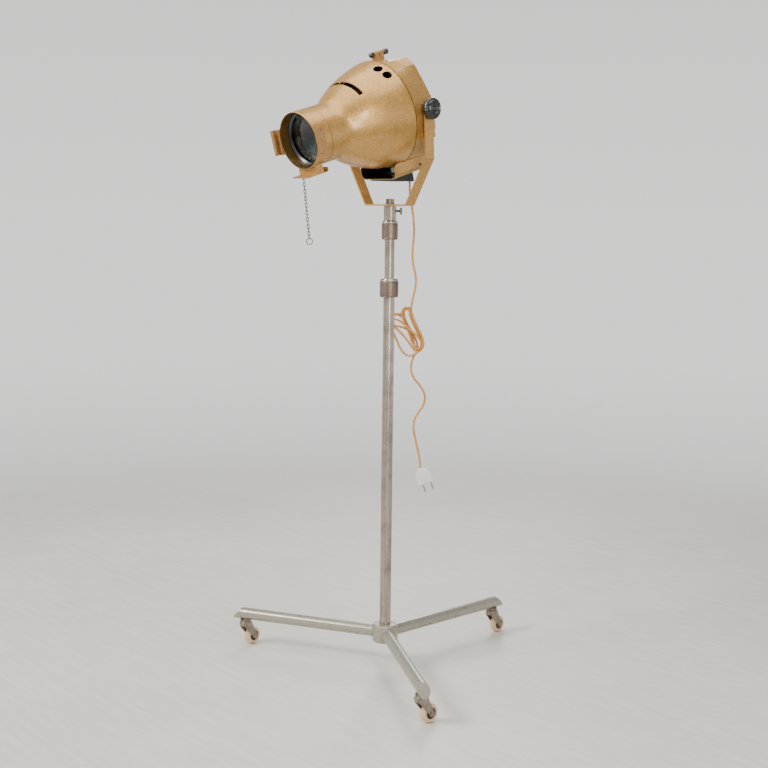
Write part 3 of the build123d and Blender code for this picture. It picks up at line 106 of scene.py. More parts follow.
# ================================================================ material helpers
class Mat:
    """A node material with short helpers for procedural detail, in row-frame metres."""

    def __init__(self, name, roughness=0.5, metallic=0.0, **sockets):
        self.mat = bpy.data.materials.new(name)
        self.mat.use_nodes = True
        self.tree = self.mat.node_tree
        self.bsdf = self.tree.nodes["Principled BSDF"]
        self.bsdf.inputs["Roughness"].default_value = roughness
        self.bsdf.inputs["Metallic"].default_value = metallic
        for key, value in sockets.items():
            self.bsdf.inputs[key.replace("_", " ")].default_value = value
        places = self.tree.nodes.new("ShaderNodeTexCoord")
        self.coords = places.outputs["Object"]
        self.normals = places.outputs["Normal"]
        self.height = None

    def node(self, kind, **inputs):
        n = self.tree.nodes.new(kind)
        for key, value in inputs.items():
            self.put(n.inputs[key.replace("_", " ")], value)
        return n

    def put(self, socket, value):
        if isinstance(value, bpy.types.NodeSocket):
            self.tree.links.new(value, socket)
        else:
            socket.default_value = value

    def mapped(self, scale, rotation=(0.0, 0.0, 0.0), location=(0.0, 0.0, 0.0)):
        n = self.node("ShaderNodeMapping", Vector=self.coords)
        n.inputs["Scale"].default_value = scale
        n.inputs["Rotation"].default_value = rotation
        n.inputs["Location"].default_value = location
        return n.outputs["Vector"]

    def noise(self, scale, detail=4.0, roughness=0.55, vector=None, distortion=0.0):
        n = self.node("ShaderNodeTexNoise", Scale=scale, Detail=detail, Roughness=roughness)
        n.inputs["Distortion"].default_value = distortion
        self.put(n.inputs["Vector"], vector or self.coords)
        return n.outputs["Fac"]

    def cells(self, scale, vector=None, feature="SMOOTH_F1"):
        n = self.tree.nodes.new("ShaderNodeTexVoronoi")
        n.feature = feature
        n.inputs["Scale"].default_value = scale
        if feature == "SMOOTH_F1":
            n.inputs["Smoothness"].default_value = 0.6
        self.put(n.inputs["Vector"], vector or self.coords)
        return n.outputs["Distance"]

    def ramp(self, value, *stops):
        n = self.node("ShaderNodeValToRGB", Fac=value)
        elements = n.color_ramp.elements
        while len(elements) < len(stops):
            elements.new(0.5)
        for element, (position, shade) in zip(elements, stops):
            element.position = position
            element.color = (shade, shade, shade, 1.0) if isinstance(shade, float) else (*shade, 1.0)
        return n.outputs["Color"]

    def blend(self, factor, low, high, mode="MIX"):
        n = self.tree.nodes.new("ShaderNodeMix")
        n.data_type = "RGBA"
        n.blend_type = mode
        self.put(n.inputs["Factor"], factor)
        # Of the node's sockets, 6 and 7 are its two colours, and output 2 is the mixed colour.
        for socket, shade in ((n.inputs[6], low), (n.inputs[7], high)):
            self.put(socket, shade if isinstance(shade, bpy.types.NodeSocket) else (*shade, 1.0))
        return n.outputs[2]

    def facing_in(self, centre):
        """1 where the surface faces a point inside the shell, 0 where it faces away from it."""
        away = self.vector_math("SUBTRACT", self.coords, tuple(centre)).outputs["Vector"]
        toward = self.vector_math("DOT_PRODUCT", self.normals, away).outputs["Value"]
        return self.math("LESS_THAN", toward, 0.0)

    def vector_math(self, operation, first, second):
        n = self.tree.nodes.new("ShaderNodeVectorMath")
        n.operation = operation
        self.put(n.inputs[0], first)
        self.put(n.inputs[1], second)
        return n

    def math(self, operation, first, second=0.0):
        n = self.tree.nodes.new("ShaderNodeMath")
        n.operation = operation
        self.put(n.inputs[0], first)
        self.put(n.inputs[1], second)
        return n.outputs[0]

    def color(self, value):
        self.put(self.bsdf.inputs["Base Color"], value)

    def rough(self, value):
        self.put(self.bsdf.inputs["Roughness"], value)

    def metal(self, value):
        self.put(self.bsdf.inputs["Metallic"], value)

    def bump(self, height, strength, distance):
        n = self.node("ShaderNodeBump", Height=height, Strength=strength, Distance=distance)
        if self.height is not None:
            self.tree.links.new(self.height, n.inputs["Normal"])
        self.height = n.outputs["Normal"]
        self.tree.links.new(self.height, self.bsdf.inputs["Normal"])


def hammered(
    name, dark, mid, light, chip, chip_amount=0.68, scale=420.0, metallic=0.45, inside=None, centre=None
):
    """Hammer-finish enamel: shallow round dimples, tone drawn into the dimples, chips and fine scratches.

    Where a shell's centre is given, the faces towards it take the darker inside colour, a painted shade for
    the unlit inside.
    """
    m = Mat(name, metallic=metallic, Coat_Weight=0.4, Coat_Roughness=0.12)
    wobble = m.node("ShaderNodeTexNoise", Scale=scale * 0.5, Detail=2.0)
    m.put(wobble.inputs["Vector"], m.coords)
    shift = m.tree.nodes.new("ShaderNodeVectorMath")
    shift.operation = "SCALE"
    m.put(shift.inputs[0], wobble.outputs["Color"])
    shift.inputs["Scale"].default_value = 0.0025
    warped = m.vector_math("ADD", m.coords, shift.outputs["Vector"]).outputs["Vector"]
    dimples = m.cells(scale, vector=warped)
    tone = m.ramp(dimples, (0.05, dark), (0.45, mid), (0.85, light))
    patches = m.noise(7.0, detail=5.0)
    worn = m.blend(m.ramp(patches, (0.45, 0.0), (0.80, 0.40)), tone, tuple(c * 0.70 for c in mid))
    grime = m.noise(45.0, detail=6.0, roughness=0.7)
    worn = m.blend(m.ramp(grime, (0.55, 0.0), (0.75, 0.35)), worn, tuple(c * 0.5 for c in dark))
    chips = m.noise(120.0, detail=9.0, roughness=0.75, distortion=0.6)
    chip_mask = m.ramp(chips, (chip_amount, 0.0), (chip_amount + 0.02, 1.0))
    scratch = m.noise(1.0, detail=3.0, vector=m.mapped((900.0, 60.0, 340.0), (0.5, 0.9, 0.3)))
    scratch_mask = m.ramp(scratch, (0.735, 0.0), (0.75, 0.7))
    either = m.math("MAXIMUM", chip_mask, scratch_mask)
    shade = m.blend(either, worn, chip)
    # Painted shade: the faces towards the shell's centre take the darker inside colour, varied in patches, as
    # if the inside were unlit.
    if inside is not None:
        painted_inside_shade = m.blend(m.ramp(patches, (0.3, 0.0), (0.75, 1.0)), inside, tuple(c * 0.55 for c in inside))
        shade = m.blend(m.facing_in(centre), shade, painted_inside_shade)
    m.color(shade)
    m.rough(m.ramp(m.noise(60.0, detail=5.0), (0.30, 0.25), (0.75, 0.42)))
    m.bump(m.ramp(dimples, (0.0, 0.0), (0.75, 1.0)), 0.30, 0.0006)
    m.bump(m.noise(900.0, detail=2.0), 0.05, 0.0002)
    m.bump(m.math("MULTIPLY", either, -1.0), 0.5, 0.0002)
    return m.mat


def plated(name, base, dull, rust, roughness=0.34, rust_from=0.64, streak=(160.0, 160.0, 6.0), metallic=0.92):
    """Worn plated or bare steel: streaked tone, dull patches and specks of rust."""
    m = Mat(name, metallic=metallic)
    lines = m.noise(1.0, detail=6.0, roughness=0.6, vector=m.mapped(streak))
    tone = m.blend(m.ramp(lines, (0.35, 0.0), (0.70, 1.0)), base, dull)
    patch = m.noise(38.0, detail=7.0, roughness=0.65)
    tone = m.blend(m.ramp(patch, (0.45, 0.0), (0.70, 0.6)), tone, tuple(c * 0.7 for c in dull))
    specks = m.noise(210.0, detail=8.0, roughness=0.7)
    spots = m.ramp(specks, (rust_from, 0.0), (rust_from + 0.05, 1.0))
    m.color(m.blend(spots, tone, rust))
    m.metal(m.ramp(spots, (0.0, metallic), (1.0, 0.15)))
    m.rough(m.ramp(lines, (0.3, roughness - 0.08), (0.75, roughness + 0.14)))
    m.bump(lines, 0.08, 0.0002)
    m.bump(specks, 0.12, 0.0002)
    return m.mat


def moulded(name, base, speck, roughness=0.35, spread=0.5, grain=700.0, **sockets):
    """Moulded plastic, rubber or glazed ware: cloudy tone, fine grain and a few scuffs."""
    m = Mat(name, **sockets)
    cloud = m.noise(55.0, detail=6.0, roughness=0.6)
    fine = m.noise(grain, detail=3.0)
    tone = m.blend(m.ramp(cloud, (0.35, 0.0), (0.70, spread)), base, speck)
    scuffs = m.noise(1.0, detail=4.0, vector=m.mapped((420.0, 420.0, 60.0), (0.4, 0.2, 0.7)))
    scuffed = m.ramp(scuffs, (0.68, 0.0), (0.74, 0.4))
    m.color(m.blend(scuffed, tone, tuple(min(1.0, c * 1.5 + 0.02) for c in base)))
    m.rough(m.ramp(m.noise(80.0, detail=4.0), (0.3, roughness - 0.08), (0.75, roughness + 0.14)))
    m.bump(fine, 0.10, 0.0002)
    m.bump(scuffs, 0.05, 0.0002)
    return m.mat


def glazing(name, tint, roughness, ior):
    """Clear glass with a faint film of dust."""
    m = Mat(name, IOR=ior, Transmission_Weight=1.0)
    film = m.noise(60.0, detail=6.0)
    m.color(m.blend(m.ramp(film, (0.4, 0.0), (0.8, 1.0)), tint, tuple(c * 0.9 for c in tint)))
    m.rough(m.ramp(film, (0.4, roughness), (0.85, roughness + 0.06)))
    return m.mat


GOLD_TONES = ((0.34, 0.165, 0.030), (0.52, 0.275, 0.062), (0.66, 0.385, 0.115), (0.80, 0.68, 0.46))
# Painted shade: the near-black colour of the inside faces of the bell, rear housing and lamp tray.
INSIDE_SHADE_PAINTED = (0.016, 0.010, 0.005)
GOLD = hammered("gold_hammered", *GOLD_TONES)
BELL_GOLD = hammered("bell_gold", *GOLD_TONES, inside=INSIDE_SHADE_PAINTED, centre=head_point(75, 0, 0))
HOUSING_GOLD = hammered("housing_gold", *GOLD_TONES, inside=INSIDE_SHADE_PAINTED, centre=head_point(10, 0, 0))
TRAY_GOLD = hammered("tray_gold", *GOLD_TONES, inside=INSIDE_SHADE_PAINTED, centre=head_point(15, 0, -110))
# Painted shade: the sleeve's inside faces take a darker gold.
SLEEVE_GOLD = hammered("sleeve_gold", *GOLD_TONES, inside=(0.16, 0.085, 0.018), centre=head_point(243, 0, 0))
GOLD_OLD = hammered(
    "gold_old", (0.25, 0.115, 0.026), (0.40, 0.20, 0.052), (0.52, 0.29, 0.10), (0.16, 0.06, 0.025),
    chip_amount=0.60
)
GREEN = hammered(
    "green_hammered", (0.235, 0.215, 0.165), (0.33, 0.305, 0.245), (0.43, 0.40, 0.33), (0.50, 0.46, 0.38),
    chip_amount=0.64, scale=420.0, metallic=0.45
)
DARK_INSIDE = hammered(
    "dark_inside", (0.012, 0.008, 0.005), (0.028, 0.02, 0.012), (0.05, 0.035, 0.02), (0.10, 0.07, 0.04)
)
MAST = plated(
    "mast_nickel", (0.52, 0.45, 0.375), (0.20, 0.155, 0.12), (0.10, 0.05, 0.025),
    roughness=0.24, streak=(620.0, 620.0, 3.0)
)
SOCKET = plated("socket_nickel", (0.50, 0.43, 0.36), (0.24, 0.19, 0.15), (0.10, 0.055, 0.03), roughness=0.24)
KNURL = plated(
    "collar_bronze", (0.30, 0.225, 0.175), (0.16, 0.115, 0.085), (0.08, 0.045, 0.03),
    roughness=0.42
)
BRIGHT = plated(
    "collar_bright", (0.74, 0.68, 0.60), (0.50, 0.44, 0.37), (0.14, 0.09, 0.06),
    roughness=0.20, rust_from=0.70
)
FORK = plated(
    "caster_steel", (0.42, 0.36, 0.30), (0.21, 0.17, 0.135), (0.10, 0.05, 0.025),
    roughness=0.34, rust_from=0.60
)
SCREW = plated("screw_steel", (0.16, 0.135, 0.11), (0.09, 0.075, 0.06), (0.08, 0.04, 0.025), roughness=0.38)
BRASS = plated("brass_old", (0.52, 0.34, 0.12), (0.30, 0.18, 0.06), (0.09, 0.06, 0.03), roughness=0.30)
CHAIN = plated(
    "chain_steel", (0.085, 0.07, 0.058), (0.04, 0.033, 0.027), (0.07, 0.035, 0.02),
    roughness=0.40, rust_from=0.60
)
PIN = plated(
    "pin_nickel", (0.48, 0.44, 0.37), (0.33, 0.29, 0.23), (0.20, 0.14, 0.07),
    roughness=0.25, rust_from=0.72
)
BLACK_RING = hammered(
    "black_enamel", (0.004, 0.004, 0.004), (0.007, 0.0065, 0.006), (0.012, 0.011, 0.010), (0.10, 0.09, 0.07),
    chip_amount=0.74, metallic=0.0
)
BAKELITE = moulded(
    "bakelite", (0.006, 0.0055, 0.0052), (0.014, 0.011, 0.010),
    roughness=0.20, Coat_Weight=0.5, Coat_Roughness=0.08
)
WHEEL_CORE = moulded("wheel_brown", (0.055, 0.018, 0.011), (0.10, 0.04, 0.022), roughness=0.34)
TYRE = moulded(
    "wheel_amber", (0.74, 0.55, 0.33), (0.58, 0.37, 0.17), roughness=0.34, spread=0.7,
    Subsurface_Weight=0.12, Subsurface_Scale=0.004
)
BOX = moulded("dark_box", (0.018, 0.015, 0.012), (0.036, 0.028, 0.020), roughness=0.55)
CORD = moulded(
    "cord_gold", (0.66, 0.30, 0.035), (0.44, 0.17, 0.018),
    roughness=0.28, spread=0.8, Coat_Weight=0.3, Coat_Roughness=0.2
)
RELIEF = moulded("relief_brown", (0.36, 0.16, 0.03), (0.22, 0.09, 0.018), roughness=0.42, spread=0.8)
PLUG = moulded(
    "plug_white", (0.84, 0.835, 0.80), (0.74, 0.72, 0.66), roughness=0.28, spread=0.5,
    Subsurface_Weight=0.05, Subsurface_Scale=0.003
)
PORCELAIN = moulded("porcelain", (0.74, 0.71, 0.64), (0.60, 0.56, 0.47), roughness=0.16, Coat_Weight=0.5)
LENS = glazing("lens_glass", (0.62, 0.74, 0.72), 0.02, 1.52)
GLOBE = glazing("globe_glass", (0.97, 0.97, 0.96), 0.02, 1.46)


def mirror_material():
    m = Mat("mirror_silver", metallic=1.0)
    haze = m.noise(40.0, detail=5.0)
    m.color(m.blend(m.ramp(haze, (0.4, 0.0), (0.8, 1.0)), (0.86, 0.86, 0.84), (0.62, 0.60, 0.56)))
    m.rough(m.ramp(haze, (0.4, 0.06), (0.8, 0.16)))
    return m.mat


MIRROR = mirror_material()


# ================================================================ mesh helpers
def new_object(name, mesh, material, body=None, smooth=True):
    obj = bpy.data.objects.new(name, mesh)
    bpy.context.scene.collection.objects.link(obj)
    mesh.materials.clear()
    mesh.materials.append(material)
    if smooth:
        for face in mesh.polygons:
            face.use_smooth = True
    if body:
        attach(obj, body)
    return obj


def frame_matrix(origin, axis, across):
    """Matrix whose local z is axis and local x is across."""
    z = Vector(axis).normalized()
    x = (Vector(across) - z * Vector(across).dot(z)).normalized()
    y = z.cross(x)
    return Matrix.Translation(Vector(origin)) @ Matrix((x, y, z)).transposed().to_4x4()


def lathe(name, outline, matrix, steps=96, shape=None, closed=True):
    """Turned mesh from (radius, height) pairs in millimetres.

    The shape function can change a radius by angle and height.
    """
    bm = bmesh.new()
    rings = []
    for index, (radius, height) in enumerate(outline):
        ring = []
        for step in range(steps):
            angle = 2 * math.pi * step / steps
            r = radius if shape is None else shape(radius, height, angle, index)
            ring.append(bm.verts.new((r * math.cos(angle) * MM, r * math.sin(angle) * MM, height * MM)))
        rings.append(ring)
    pairs = list(zip(rings, rings[1:]))
    if closed:
        pairs.append((rings[-1], rings[0]))
    for low, high in pairs:
        for step in range(steps):
            nxt = (step + 1) % steps
            bm.faces.new((low[step], low[nxt], high[nxt], high[step]))
    bmesh.ops.remove_doubles(bm, verts=bm.verts, dist=1e-6)
    bmesh.ops.recalc_face_normals(bm, faces=bm.faces)
    bm.transform(matrix)
    mesh = bpy.data.meshes.new(name)
    bm.to_mesh(mesh)
    bm.free()
    return mesh


def tube_mesh(name, points, radius, sides=12, squash=1.0):
    """Round tube along close-set points, with capped ends."""
    bm = bmesh.new()
    rings = []
    normal = None
    for i, point in enumerate(points):
        before = points[max(0, i - 1)]
        after = points[min(len(points) - 1, i + 1)]
        along = (after - before).normalized()
        if normal is None:
            normal = along.orthogonal().normalized()
        normal = (normal - along * normal.dot(along)).normalized()
        other = along.cross(normal)
        r = radius(i) if callable(radius) else radius
        rings.append([
            bm.verts.new(point + (normal * math.cos(t) + other * math.sin(t) * squash) * r)
            for t in (2 * math.pi * k / sides for k in range(sides))
        ])
    for low, high in zip(rings, rings[1:]):
        for k in range(sides):
            nxt = (k + 1) % sides
            bm.faces.new((low[k], low[nxt], high[nxt], high[k]))
    bm.faces.new(list(reversed(rings[0])))
    bm.faces.new(rings[-1])
    bmesh.ops.recalc_face_normals(bm, faces=bm.faces)
    mesh = bpy.data.meshes.new(name)
    bm.to_mesh(mesh)
    bm.free()
    return mesh


def spline_points(name, controls, resolution=8):
    """Points along the smooth line of a NURBS spline through control points."""
    curve = bpy.data.curves.new(name, "CURVE")
    curve.dimensions = "3D"
    spline = curve.splines.new("NURBS")
    spline.points.add(len(controls) - 1)
    for point, place in zip(spline.points, controls):
        point.co = (*place, 1.0)
    spline.order_u = 3
    spline.use_endpoint_u = True
    spline.resolution_u = resolution
    obj = bpy.data.objects.new(name, curve)
    bpy.context.scene.collection.objects.link(obj)
    bpy.context.view_layer.update()
    line = bpy.data.meshes.new_from_object(obj)
    points = [v.co.copy() for v in line.vertices]
    bpy.data.objects.remove(obj)
    bpy.data.curves.remove(curve)
    bpy.data.meshes.remove(line)
    return points


# ================================================================ mains cord
CORD_R = 0.0025
DROP = [
    (CORD_EXIT_S, GLAND_LOW),
    (CORD_EXIT_S, 1068.0),
    (49.0, 1036.0),
    (54.5, 998.0),
    (54.0, 966.0),
    (51.0, 938.0),
    (52.5, 911.0),
    (59.5, 886.0),
    (60.5, 862.0),
    (55.0, 840.0),
]
TAIL = [
    (63.0, 712.0),
    (54.5, 696.0),
    (50.5, 673.0),
    (58.0, 652.0),
    (74.0, 635.0),
    (85.5, 615.0),
    (83.0, 593.0),
    (70.0, 575.0),
    (60.0, 557.0),
    (59.0, 535.0),
    (64.5, 511.0),
    (70.5, 487.0),
    (75.0, 464.0),
    (76.0, 447.0),
]
# One strand down the right side of the hank and one up its left side, then the two folds.
RIGHT_DOWN = [(51, 795), (60, 773), (70, 754), (76, 740)]
LOW_FOLD = [(77, 727), (70, 719), (61, 721)]
LEFT_UP = [(55, 733), (50, 749), (44, 764), (36, 781), (31, 795)]
TOP_FOLD = [(31, 808), (38, 815), (46, 809)]


def strand(points, shift, depth_from, depth_to):
    """Points of one strand, moved across by shift, with its depth changing evenly along it."""
    last = max(1, len(points) - 1)
    return [
        cord_point(s + shift, z, depth_from + (depth_to - depth_from) * i / last)
        for i, (s, z) in enumerate(points)
    ]


def hank_points():
    route = []
    # Into the bundle, then two close turns.
    route += strand([(49, 818), (49, 800)] + RIGHT_DOWN[1:], 1.5, -6, -9)
    route += strand(LOW_FOLD, 0.5, -8, 0)
    route += strand(LEFT_UP, -1.5, 2, 2)
    route += strand(TOP_FOLD, 0.5, 1, -3)
    route += strand(RIGHT_DOWN, -3.5, -4, -4)
    route += strand(LOW_FOLD, -1.5, -3, 6)
    route += strand(LEFT_UP, 3.0, 7, 7)
    route += strand(TOP_FOLD, 3.0, 6, 1)
    # A wide turn: down the bundle, up past the mast and back across the front of the bundle.
    route += strand(RIGHT_DOWN, 2.5, 1, 1)
    route += strand([(80, 726), (72, 716), (62, 721)], 0, 3, 9)
    route += strand([(57, 731), (52, 747), (47, 758), (39, 765), (25, 769), (12, 772)], 0, 10, 6)
    route += strand([(3, 776), (2, 783), (9, 788)], 0, 4, -3)
    route += strand([(22, 785), (34, 777), (48, 763), (61, 753), (72, 741)], 0, -7, -10)
    route += strand([(80, 730), (74, 717), (63, 712)], 0, -9, 2)
    # A second wide turn, up the long slant and over the top.
    route += strand([(54, 722), (41, 741), (27, 756), (13, 769)], 0, 5, 5)
    route += strand([(2, 779), (-1, 790), (6, 798)], 0, 5, 3)
    route += strand([(18, 797), (29, 799), (36, 808), (44, 810)], 0, 2, 5)
    route += strand(RIGHT_DOWN, -1.0, 6, 6)
    route += strand([(75, 729), (72, 717)], 0, 6, 2)
    # The lowest loose loop, then out of the bundle.
    route += strand([(60, 707), (47, 703), (36, 708), (27, 720), (18, 741), (10, 757)], 0, -3, -3)
    route += strand([(1, 774), (3, 789), (13, 797)], 0, -2, 4)
    route += strand([(26, 795), (37, 783), (46, 768), (55, 752), (63, 738), (67, 725)], 0, 9, 10)
    return route


def make_cord():
    controls = strand(DROP, 0, 0, 0)
    controls += hank_points()
    controls += strand(TAIL, 0, 0, 0)
    points = spline_points("cord_line", controls)
    obj = new_object("mains_cord", tube_mesh("mains_cord", points, CORD_R), CORD)
    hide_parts("cord_stub", "cord_drop", "cord_hank", "cord_tail")
    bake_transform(obj)


make_cord()

# ================================================================ materials of the CAD nodes
MATERIALS = {
    GOLD: ["yoke", "filter_stop"],
    BELL_GOLD: ["bell"],
    HOUSING_GOLD: ["rear_housing"],
    TRAY_GOLD: ["lamp_tray"],
    SLEEVE_GOLD: ["filter_sleeve"],
    GOLD_OLD: ["filter_runners", "catch_lug"],
    DARK_INSIDE: ["vent_baffle", "focus_carriage"],
    GREEN: ["base_hub", "leg_left", "leg_front", "leg_rear", "leg_caps"],
    MAST: ["mast_lower_tube", "mast_middle_tube", "mast_inner_tube", "lower_collet", "upper_collet"],
    SOCKET: ["head_socket", "yoke_spigot"],
    KNURL: ["lower_collar", "upper_collar"],
    FORK: ["caster_stems", "caster_fork_left", "caster_fork_front", "caster_fork_rear"],
    SCREW: [
        "spigot_nut", "tray_screws", "tilt_studs", "tilt_washers",
        "focus_rod", "socket_clamp_screw", "plug_screw",
    ],
    WHEEL_CORE: ["wheel_core_left", "wheel_core_front", "wheel_core_rear"],
    TYRE: ["wheel_tyre_left", "wheel_tyre_front", "wheel_tyre_rear"],
    LENS: ["lens"],
    GLOBE: ["lamp_globe"],
    BLACK_RING: ["lens_rings"],
    BAKELITE: ["tilt_knob_left", "tilt_knob_right", "focus_knob"],
    BOX: ["terminal_box"],
    PORCELAIN: ["lampholder"],
    BRASS: ["catch_screw", "lamp_cap"],
    MIRROR: ["reflector"],
    CHAIN: ["chain"],
    PLUG: ["plug_body"],
    PIN: ["plug_pins"],
}
for material, names in MATERIALS.items():
    for name in names:
        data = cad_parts[name].data
        data.materials.clear()
        data.materials.append(material)


# ================================================================ turned details
def knurled(radius, height, angle, index, teeth=72, depth=0.28):
    """Diamond knurl: two crossed helices cut into the surface."""
    pitch = 2 * math.pi * radius / teeth
    first = math.cos(teeth * angle + 2 * math.pi * height / (pitch * 1.5))
    second = math.cos(teeth * angle - 2 * math.pi * height / (pitch * 1.5))
    return radius + depth * min(0.0, 0.6 * max(first, second) - 0.6)


def make_collar(name, radius, low, high, bore, body):
    """Clamp collar: knurled barrel between plain rims, with a bright ring and a bright lip."""
    steps = 288
    barrel_low, barrel_high = low + 3.5, high - 8.0
    rows = 44
    barrel = [(radius - 0.25, barrel_low + (barrel_high - barrel_low) * i / rows) for i in range(rows + 1)]
    outline = [
        (bore, low + 0.1), (radius - 1.6, low + 0.1),
        (radius - 0.6, low + 1.0), (radius - 0.45, low + 2.2),
    ]
    outline += [(radius - 1.1, low + 2.8)] + barrel
    outline += [(radius - 1.2, high - 7.5), (radius - 1.2, high - 6.9), (bore, high - 6.9)]
    first, last = 5, 5 + rows

    def shape(r, z, angle, index):
        return knurled(r, z, angle, index) if first <= index <= last else r

    origin = frame_matrix((0, 0, 0), (0, 0, 1), (1, 0, 0))
    body_mesh = lathe(name, outline, origin, steps, shape)
    obj = new_object(f"{name}_knurled", body_mesh, KNURL, body)
    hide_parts(name)
    ring = [
        (bore, high - 6.8), (radius - 1.0, high - 6.8),
        (radius - 0.3, high - 6.2), (radius - 0.1, high - 4.4),
        (radius - 0.5, high - 3.4), (radius - 2.2, high - 3.0),
        (radius - 2.4, high - 1.2), (radius - 3.2, high - 0.2),
        (bore, high - 0.2),
    ]
    new_object(f"{name}_bright", lathe(f"{name}_bright", ring, origin, 96), BRIGHT, body)


make_collar("lower_collar", 20.6, 839.5, 881.0, 12.85, "lower_collar")
make_collar("upper_collar", 18.0, 965.0, 1007.0, 11.3, "upper_collar")


def make_knob(name, side, body):
    """Moulded knob: fluted rim, stepped face with rings and a hollow centre showing the stud."""
    origin = frame_matrix(PIVOT, SIDE * side, UP)
    flutes = 22

    def shape(r, z, angle, index):
        if 2 <= index <= 7:
            return r - 0.75 * max(0.0, math.cos(flutes * angle)) ** 2
        return r

    start = 122.9
    outline = [
        (5.05, start), (19.0, start), (21.6, start + 1.2), (22.4, start + 2.6), (22.75, start + 6.5),
        (22.4, start + 10.2), (21.7, start + 11.7), (20.4, start + 12.8),
        (19.2, start + 13.0), (18.9, start + 12.3),
        (18.1, start + 12.3), (17.7, start + 13.5), (16.6, start + 15.5),
        (15.6, start + 16.0), (14.5, start + 15.8),
        (14.1, start + 15.0), (13.4, start + 15.0), (13.0, start + 16.0),
        (11.5, start + 16.2), (10.1, start + 15.5),
        (9.6, start + 13.6), (6.6, start + 13.0), (5.05, start + 13.0),
    ]
    obj = new_object(f"{name}_moulded", lathe(name, outline, origin, 176, shape), BAKELITE, body)
    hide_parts(name)
    cap = [
        (0.0, start + 14.0), (3.8, start + 14.0), (5.8, start + 13.4),
        (6.4, start + 12.4), (6.4, start + 11.0), (0.0, start + 11.0),
    ]
    new_object(f"{name}_cap", lathe(f"{name}_cap", cap, origin, 48), BAKELITE, body)


make_knob("tilt_knob_left", -1, "knob_left")
make_knob("tilt_knob_right", 1, "knob_right")


def make_catch():
    """Catch screw: knurled steel head behind, brass waist with a groove ring, dark tip in front."""
    origin = frame_matrix(head_point(0, 0, 124), FORWARD, SIDE)
    steel = [(0.0, -24.9)] + [(4.6, -24.9), (5.6, -24.2)]
    rows = 18
    steel += [(6.0, -23.6 + 10.4 * i / rows) for i in range(rows + 1)]
    steel += [(5.4, -12.7), (0.0, -12.7)]

    def grip(r, z, angle, index):
        return knurled(r, z, angle, index, teeth=30, depth=0.3) if 3 <= index <= 3 + rows else r

    turned = lathe("catch_grip", steel, origin, 150, grip)
    head = new_object("catch_screw_grip", turned, SCREW, "catch_screw")
    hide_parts("catch_screw")
    neck = [(0.0, -12.6), (4.4, -12.6), (4.4, -8.4), (2.9, -8.4), (2.9, 17.4), (0.0, 17.4)]
    new_object("catch_screw_neck", lathe("catch_neck", neck, origin, 48), BRASS, "catch_screw")
    tip = [
        (0.0, 17.5), (4.9, 17.5), (5.5, 18.2), (5.5, 23.8),
        (4.8, 24.9), (3.0, 25.2), (2.6, 25.9), (0.0, 25.9),
    ]
    new_object("catch_screw_tip", lathe("catch_tip", tip, origin, 48), BLACK_RING, "catch_screw")


make_catch()


# ================================================================ cord fittings
def make_strain_relief():
    """Moulded bush in the ledge, with a tapered ribbed sleeve round the cord below it."""
    origin = frame_matrix(cord_point(CORD_EXIT_S, GLAND_SHOULDER), (0, 0, -1), (1, 0, 0))
    outline = [(0.0, -10.9), (5.4, -10.9), (5.4, -0.4)]
    ribs = 5
    first_rib_r = 5.3
    rib_taper = 0.32
    groove_depth = 0.8
    reach = GLAND_SHOULDER - GLAND_LOW
    step = (reach - 1.0) / ribs
    for i in range(ribs):
        base = i * step
        radius = first_rib_r - rib_taper * i
        outline += [
            (radius, base),
            (radius, base + step * 0.5),
            (radius - groove_depth, base + step * 0.6),
            (radius - groove_depth, base + step * 0.9),
        ]
    outline += [(3.4, reach - 0.6), (3.0, reach), (0.0, reach)]
    relief = new_object("cord_relief", lathe("cord_relief", outline, origin, 40), RELIEF, "head")
    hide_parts("cord_gland")


make_strain_relief()


def make_weld_beads():
    """Rippled bead of weld where each leg meets the hub."""
    steps = 72
    for name, angle in LEG_ANGLES.items():
        lean = math.radians(angle)
        outwards = Vector((math.cos(lean), math.sin(lean), 0.0))
        origin = frame_matrix(outwards * HUB_R * MM + Vector((0, 0, LEG_Z * MM)), outwards, (0, 0, 1))
        points = []
        for t in (2 * math.pi * i / steps for i in range(steps + 1)):
            side = LEG_R * math.sin(t)
            drop = math.sqrt(HUB_R ** 2 - side ** 2) - HUB_R
            points.append(origin @ (Vector((LEG_R * math.cos(t), side, drop)) * MM))
        bead = tube_mesh(f"weld_{name}", points, lambda i: (1.5 + 0.3 * math.sin(i * 2.1)) * MM, 8)
        new_object(f"weld_{name}", bead, GREEN, "base")


make_weld_beads()

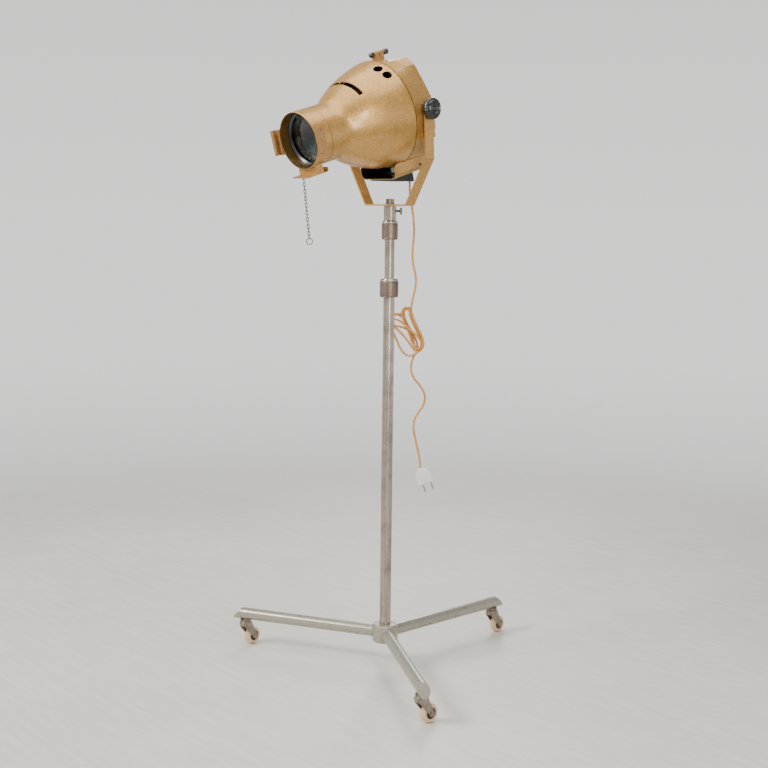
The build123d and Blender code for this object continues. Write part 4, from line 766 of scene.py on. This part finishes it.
# ================================================================ floor and light
def make_floor():
    bm = bmesh.new()
    bmesh.ops.create_circle(bm, cap_ends=True, cap_tris=False, segments=96, radius=2.6)
    mesh = bpy.data.meshes.new("floor")
    bm.to_mesh(mesh)
    bm.free()
    m = Mat("floor_pale", roughness=0.55)
    cloud = m.noise(1.6, detail=8.0, roughness=0.6)
    streaks = m.noise(1.0, detail=6.0, roughness=0.7, vector=m.mapped((7.0, 60.0, 1.0), (0, 0, 0.75)))
    tone = m.blend(m.ramp(cloud, (0.3, 0.0), (0.75, 1.0)), (0.60, 0.575, 0.525), (0.70, 0.675, 0.62))
    m.color(m.blend(m.ramp(streaks, (0.45, 0.0), (0.72, 0.55)), tone, (0.80, 0.78, 0.73)))
    m.bump(cloud, 0.05, 0.001)
    floor = bpy.data.objects.new("floor", mesh)
    bpy.context.scene.collection.objects.link(floor)
    floor.location = (0.0, 0.0, -0.0005)
    mesh.materials.append(m.mat)
    radius = m.node("ShaderNodeVectorMath")
    radius.operation = "LENGTH"
    m.put(radius.inputs[0], m.coords)
    fade = m.ramp(m.math("DIVIDE", radius.outputs["Value"], 2.6), (0.52, 1.0), (0.98, 0.0))
    m.put(m.bsdf.inputs["Alpha"], fade)


def area_light(name, place, target, size, power, shade=(1.0, 1.0, 1.0)):
    data = bpy.data.lights.new(name, "AREA")
    data.shape = "RECTANGLE"
    data.size, data.size_y = size
    data.energy = power
    data.color = shade
    obj = bpy.data.objects.new(name, data)
    bpy.context.scene.collection.objects.link(obj)
    obj.location = place
    obj.rotation_euler = (Vector(target) - Vector(place)).to_track_quat("-Z", "Y").to_euler()


make_floor()


def make_world():
    """Pale at the height of the horizon, where the camera sees it, and darker overhead and below."""
    world = bpy.data.worlds.new("studio")
    bpy.context.scene.world = world
    world.use_nodes = True
    tree = world.node_tree
    direction = tree.nodes.new("ShaderNodeTexCoord").outputs["Generated"]
    split = tree.nodes.new("ShaderNodeSeparateXYZ")
    tree.links.new(direction, split.inputs[0])
    lift = tree.nodes.new("ShaderNodeMapRange")
    tree.links.new(split.outputs["Z"], lift.inputs["Value"])
    lift.inputs["From Min"].default_value = -1.0
    lift.inputs["From Max"].default_value = 1.0
    ramp = tree.nodes.new("ShaderNodeValToRGB")
    tree.links.new(lift.outputs["Result"], ramp.inputs["Fac"])
    stops = [(0.30, 0.16), (0.44, 1.22), (0.50, 1.22), (0.59, 1.02), (0.66, 0.40), (1.0, 0.30)]
    elements = ramp.color_ramp.elements
    while len(elements) < len(stops):
        elements.new(0.5)
    for element, (position, shade) in zip(elements, stops):
        element.position = position
        element.color = (shade, shade * 0.995, shade * 0.985, 1.0)
    tree.links.new(ramp.outputs["Color"], tree.nodes["Background"].inputs["Color"])


make_world()
area_light("key", (-1.0, -2.9, 2.9), (0, 0, 1.1), (1.1, 1.1), 150.0, (1.0, 0.97, 0.92))
area_light("overhead", (0.2, -0.2, 3.2), (0, 0, 0.0), (2.4, 2.4), 55.0)
area_light("strip", (2.2, -1.0, 1.3), (0, 0, 0.8), (0.25, 1.8), 26.0)
area_light("rim", (-1.6, 1.8, 2.0), (0, 0, 0.9), (0.5, 1.6), 34.0)
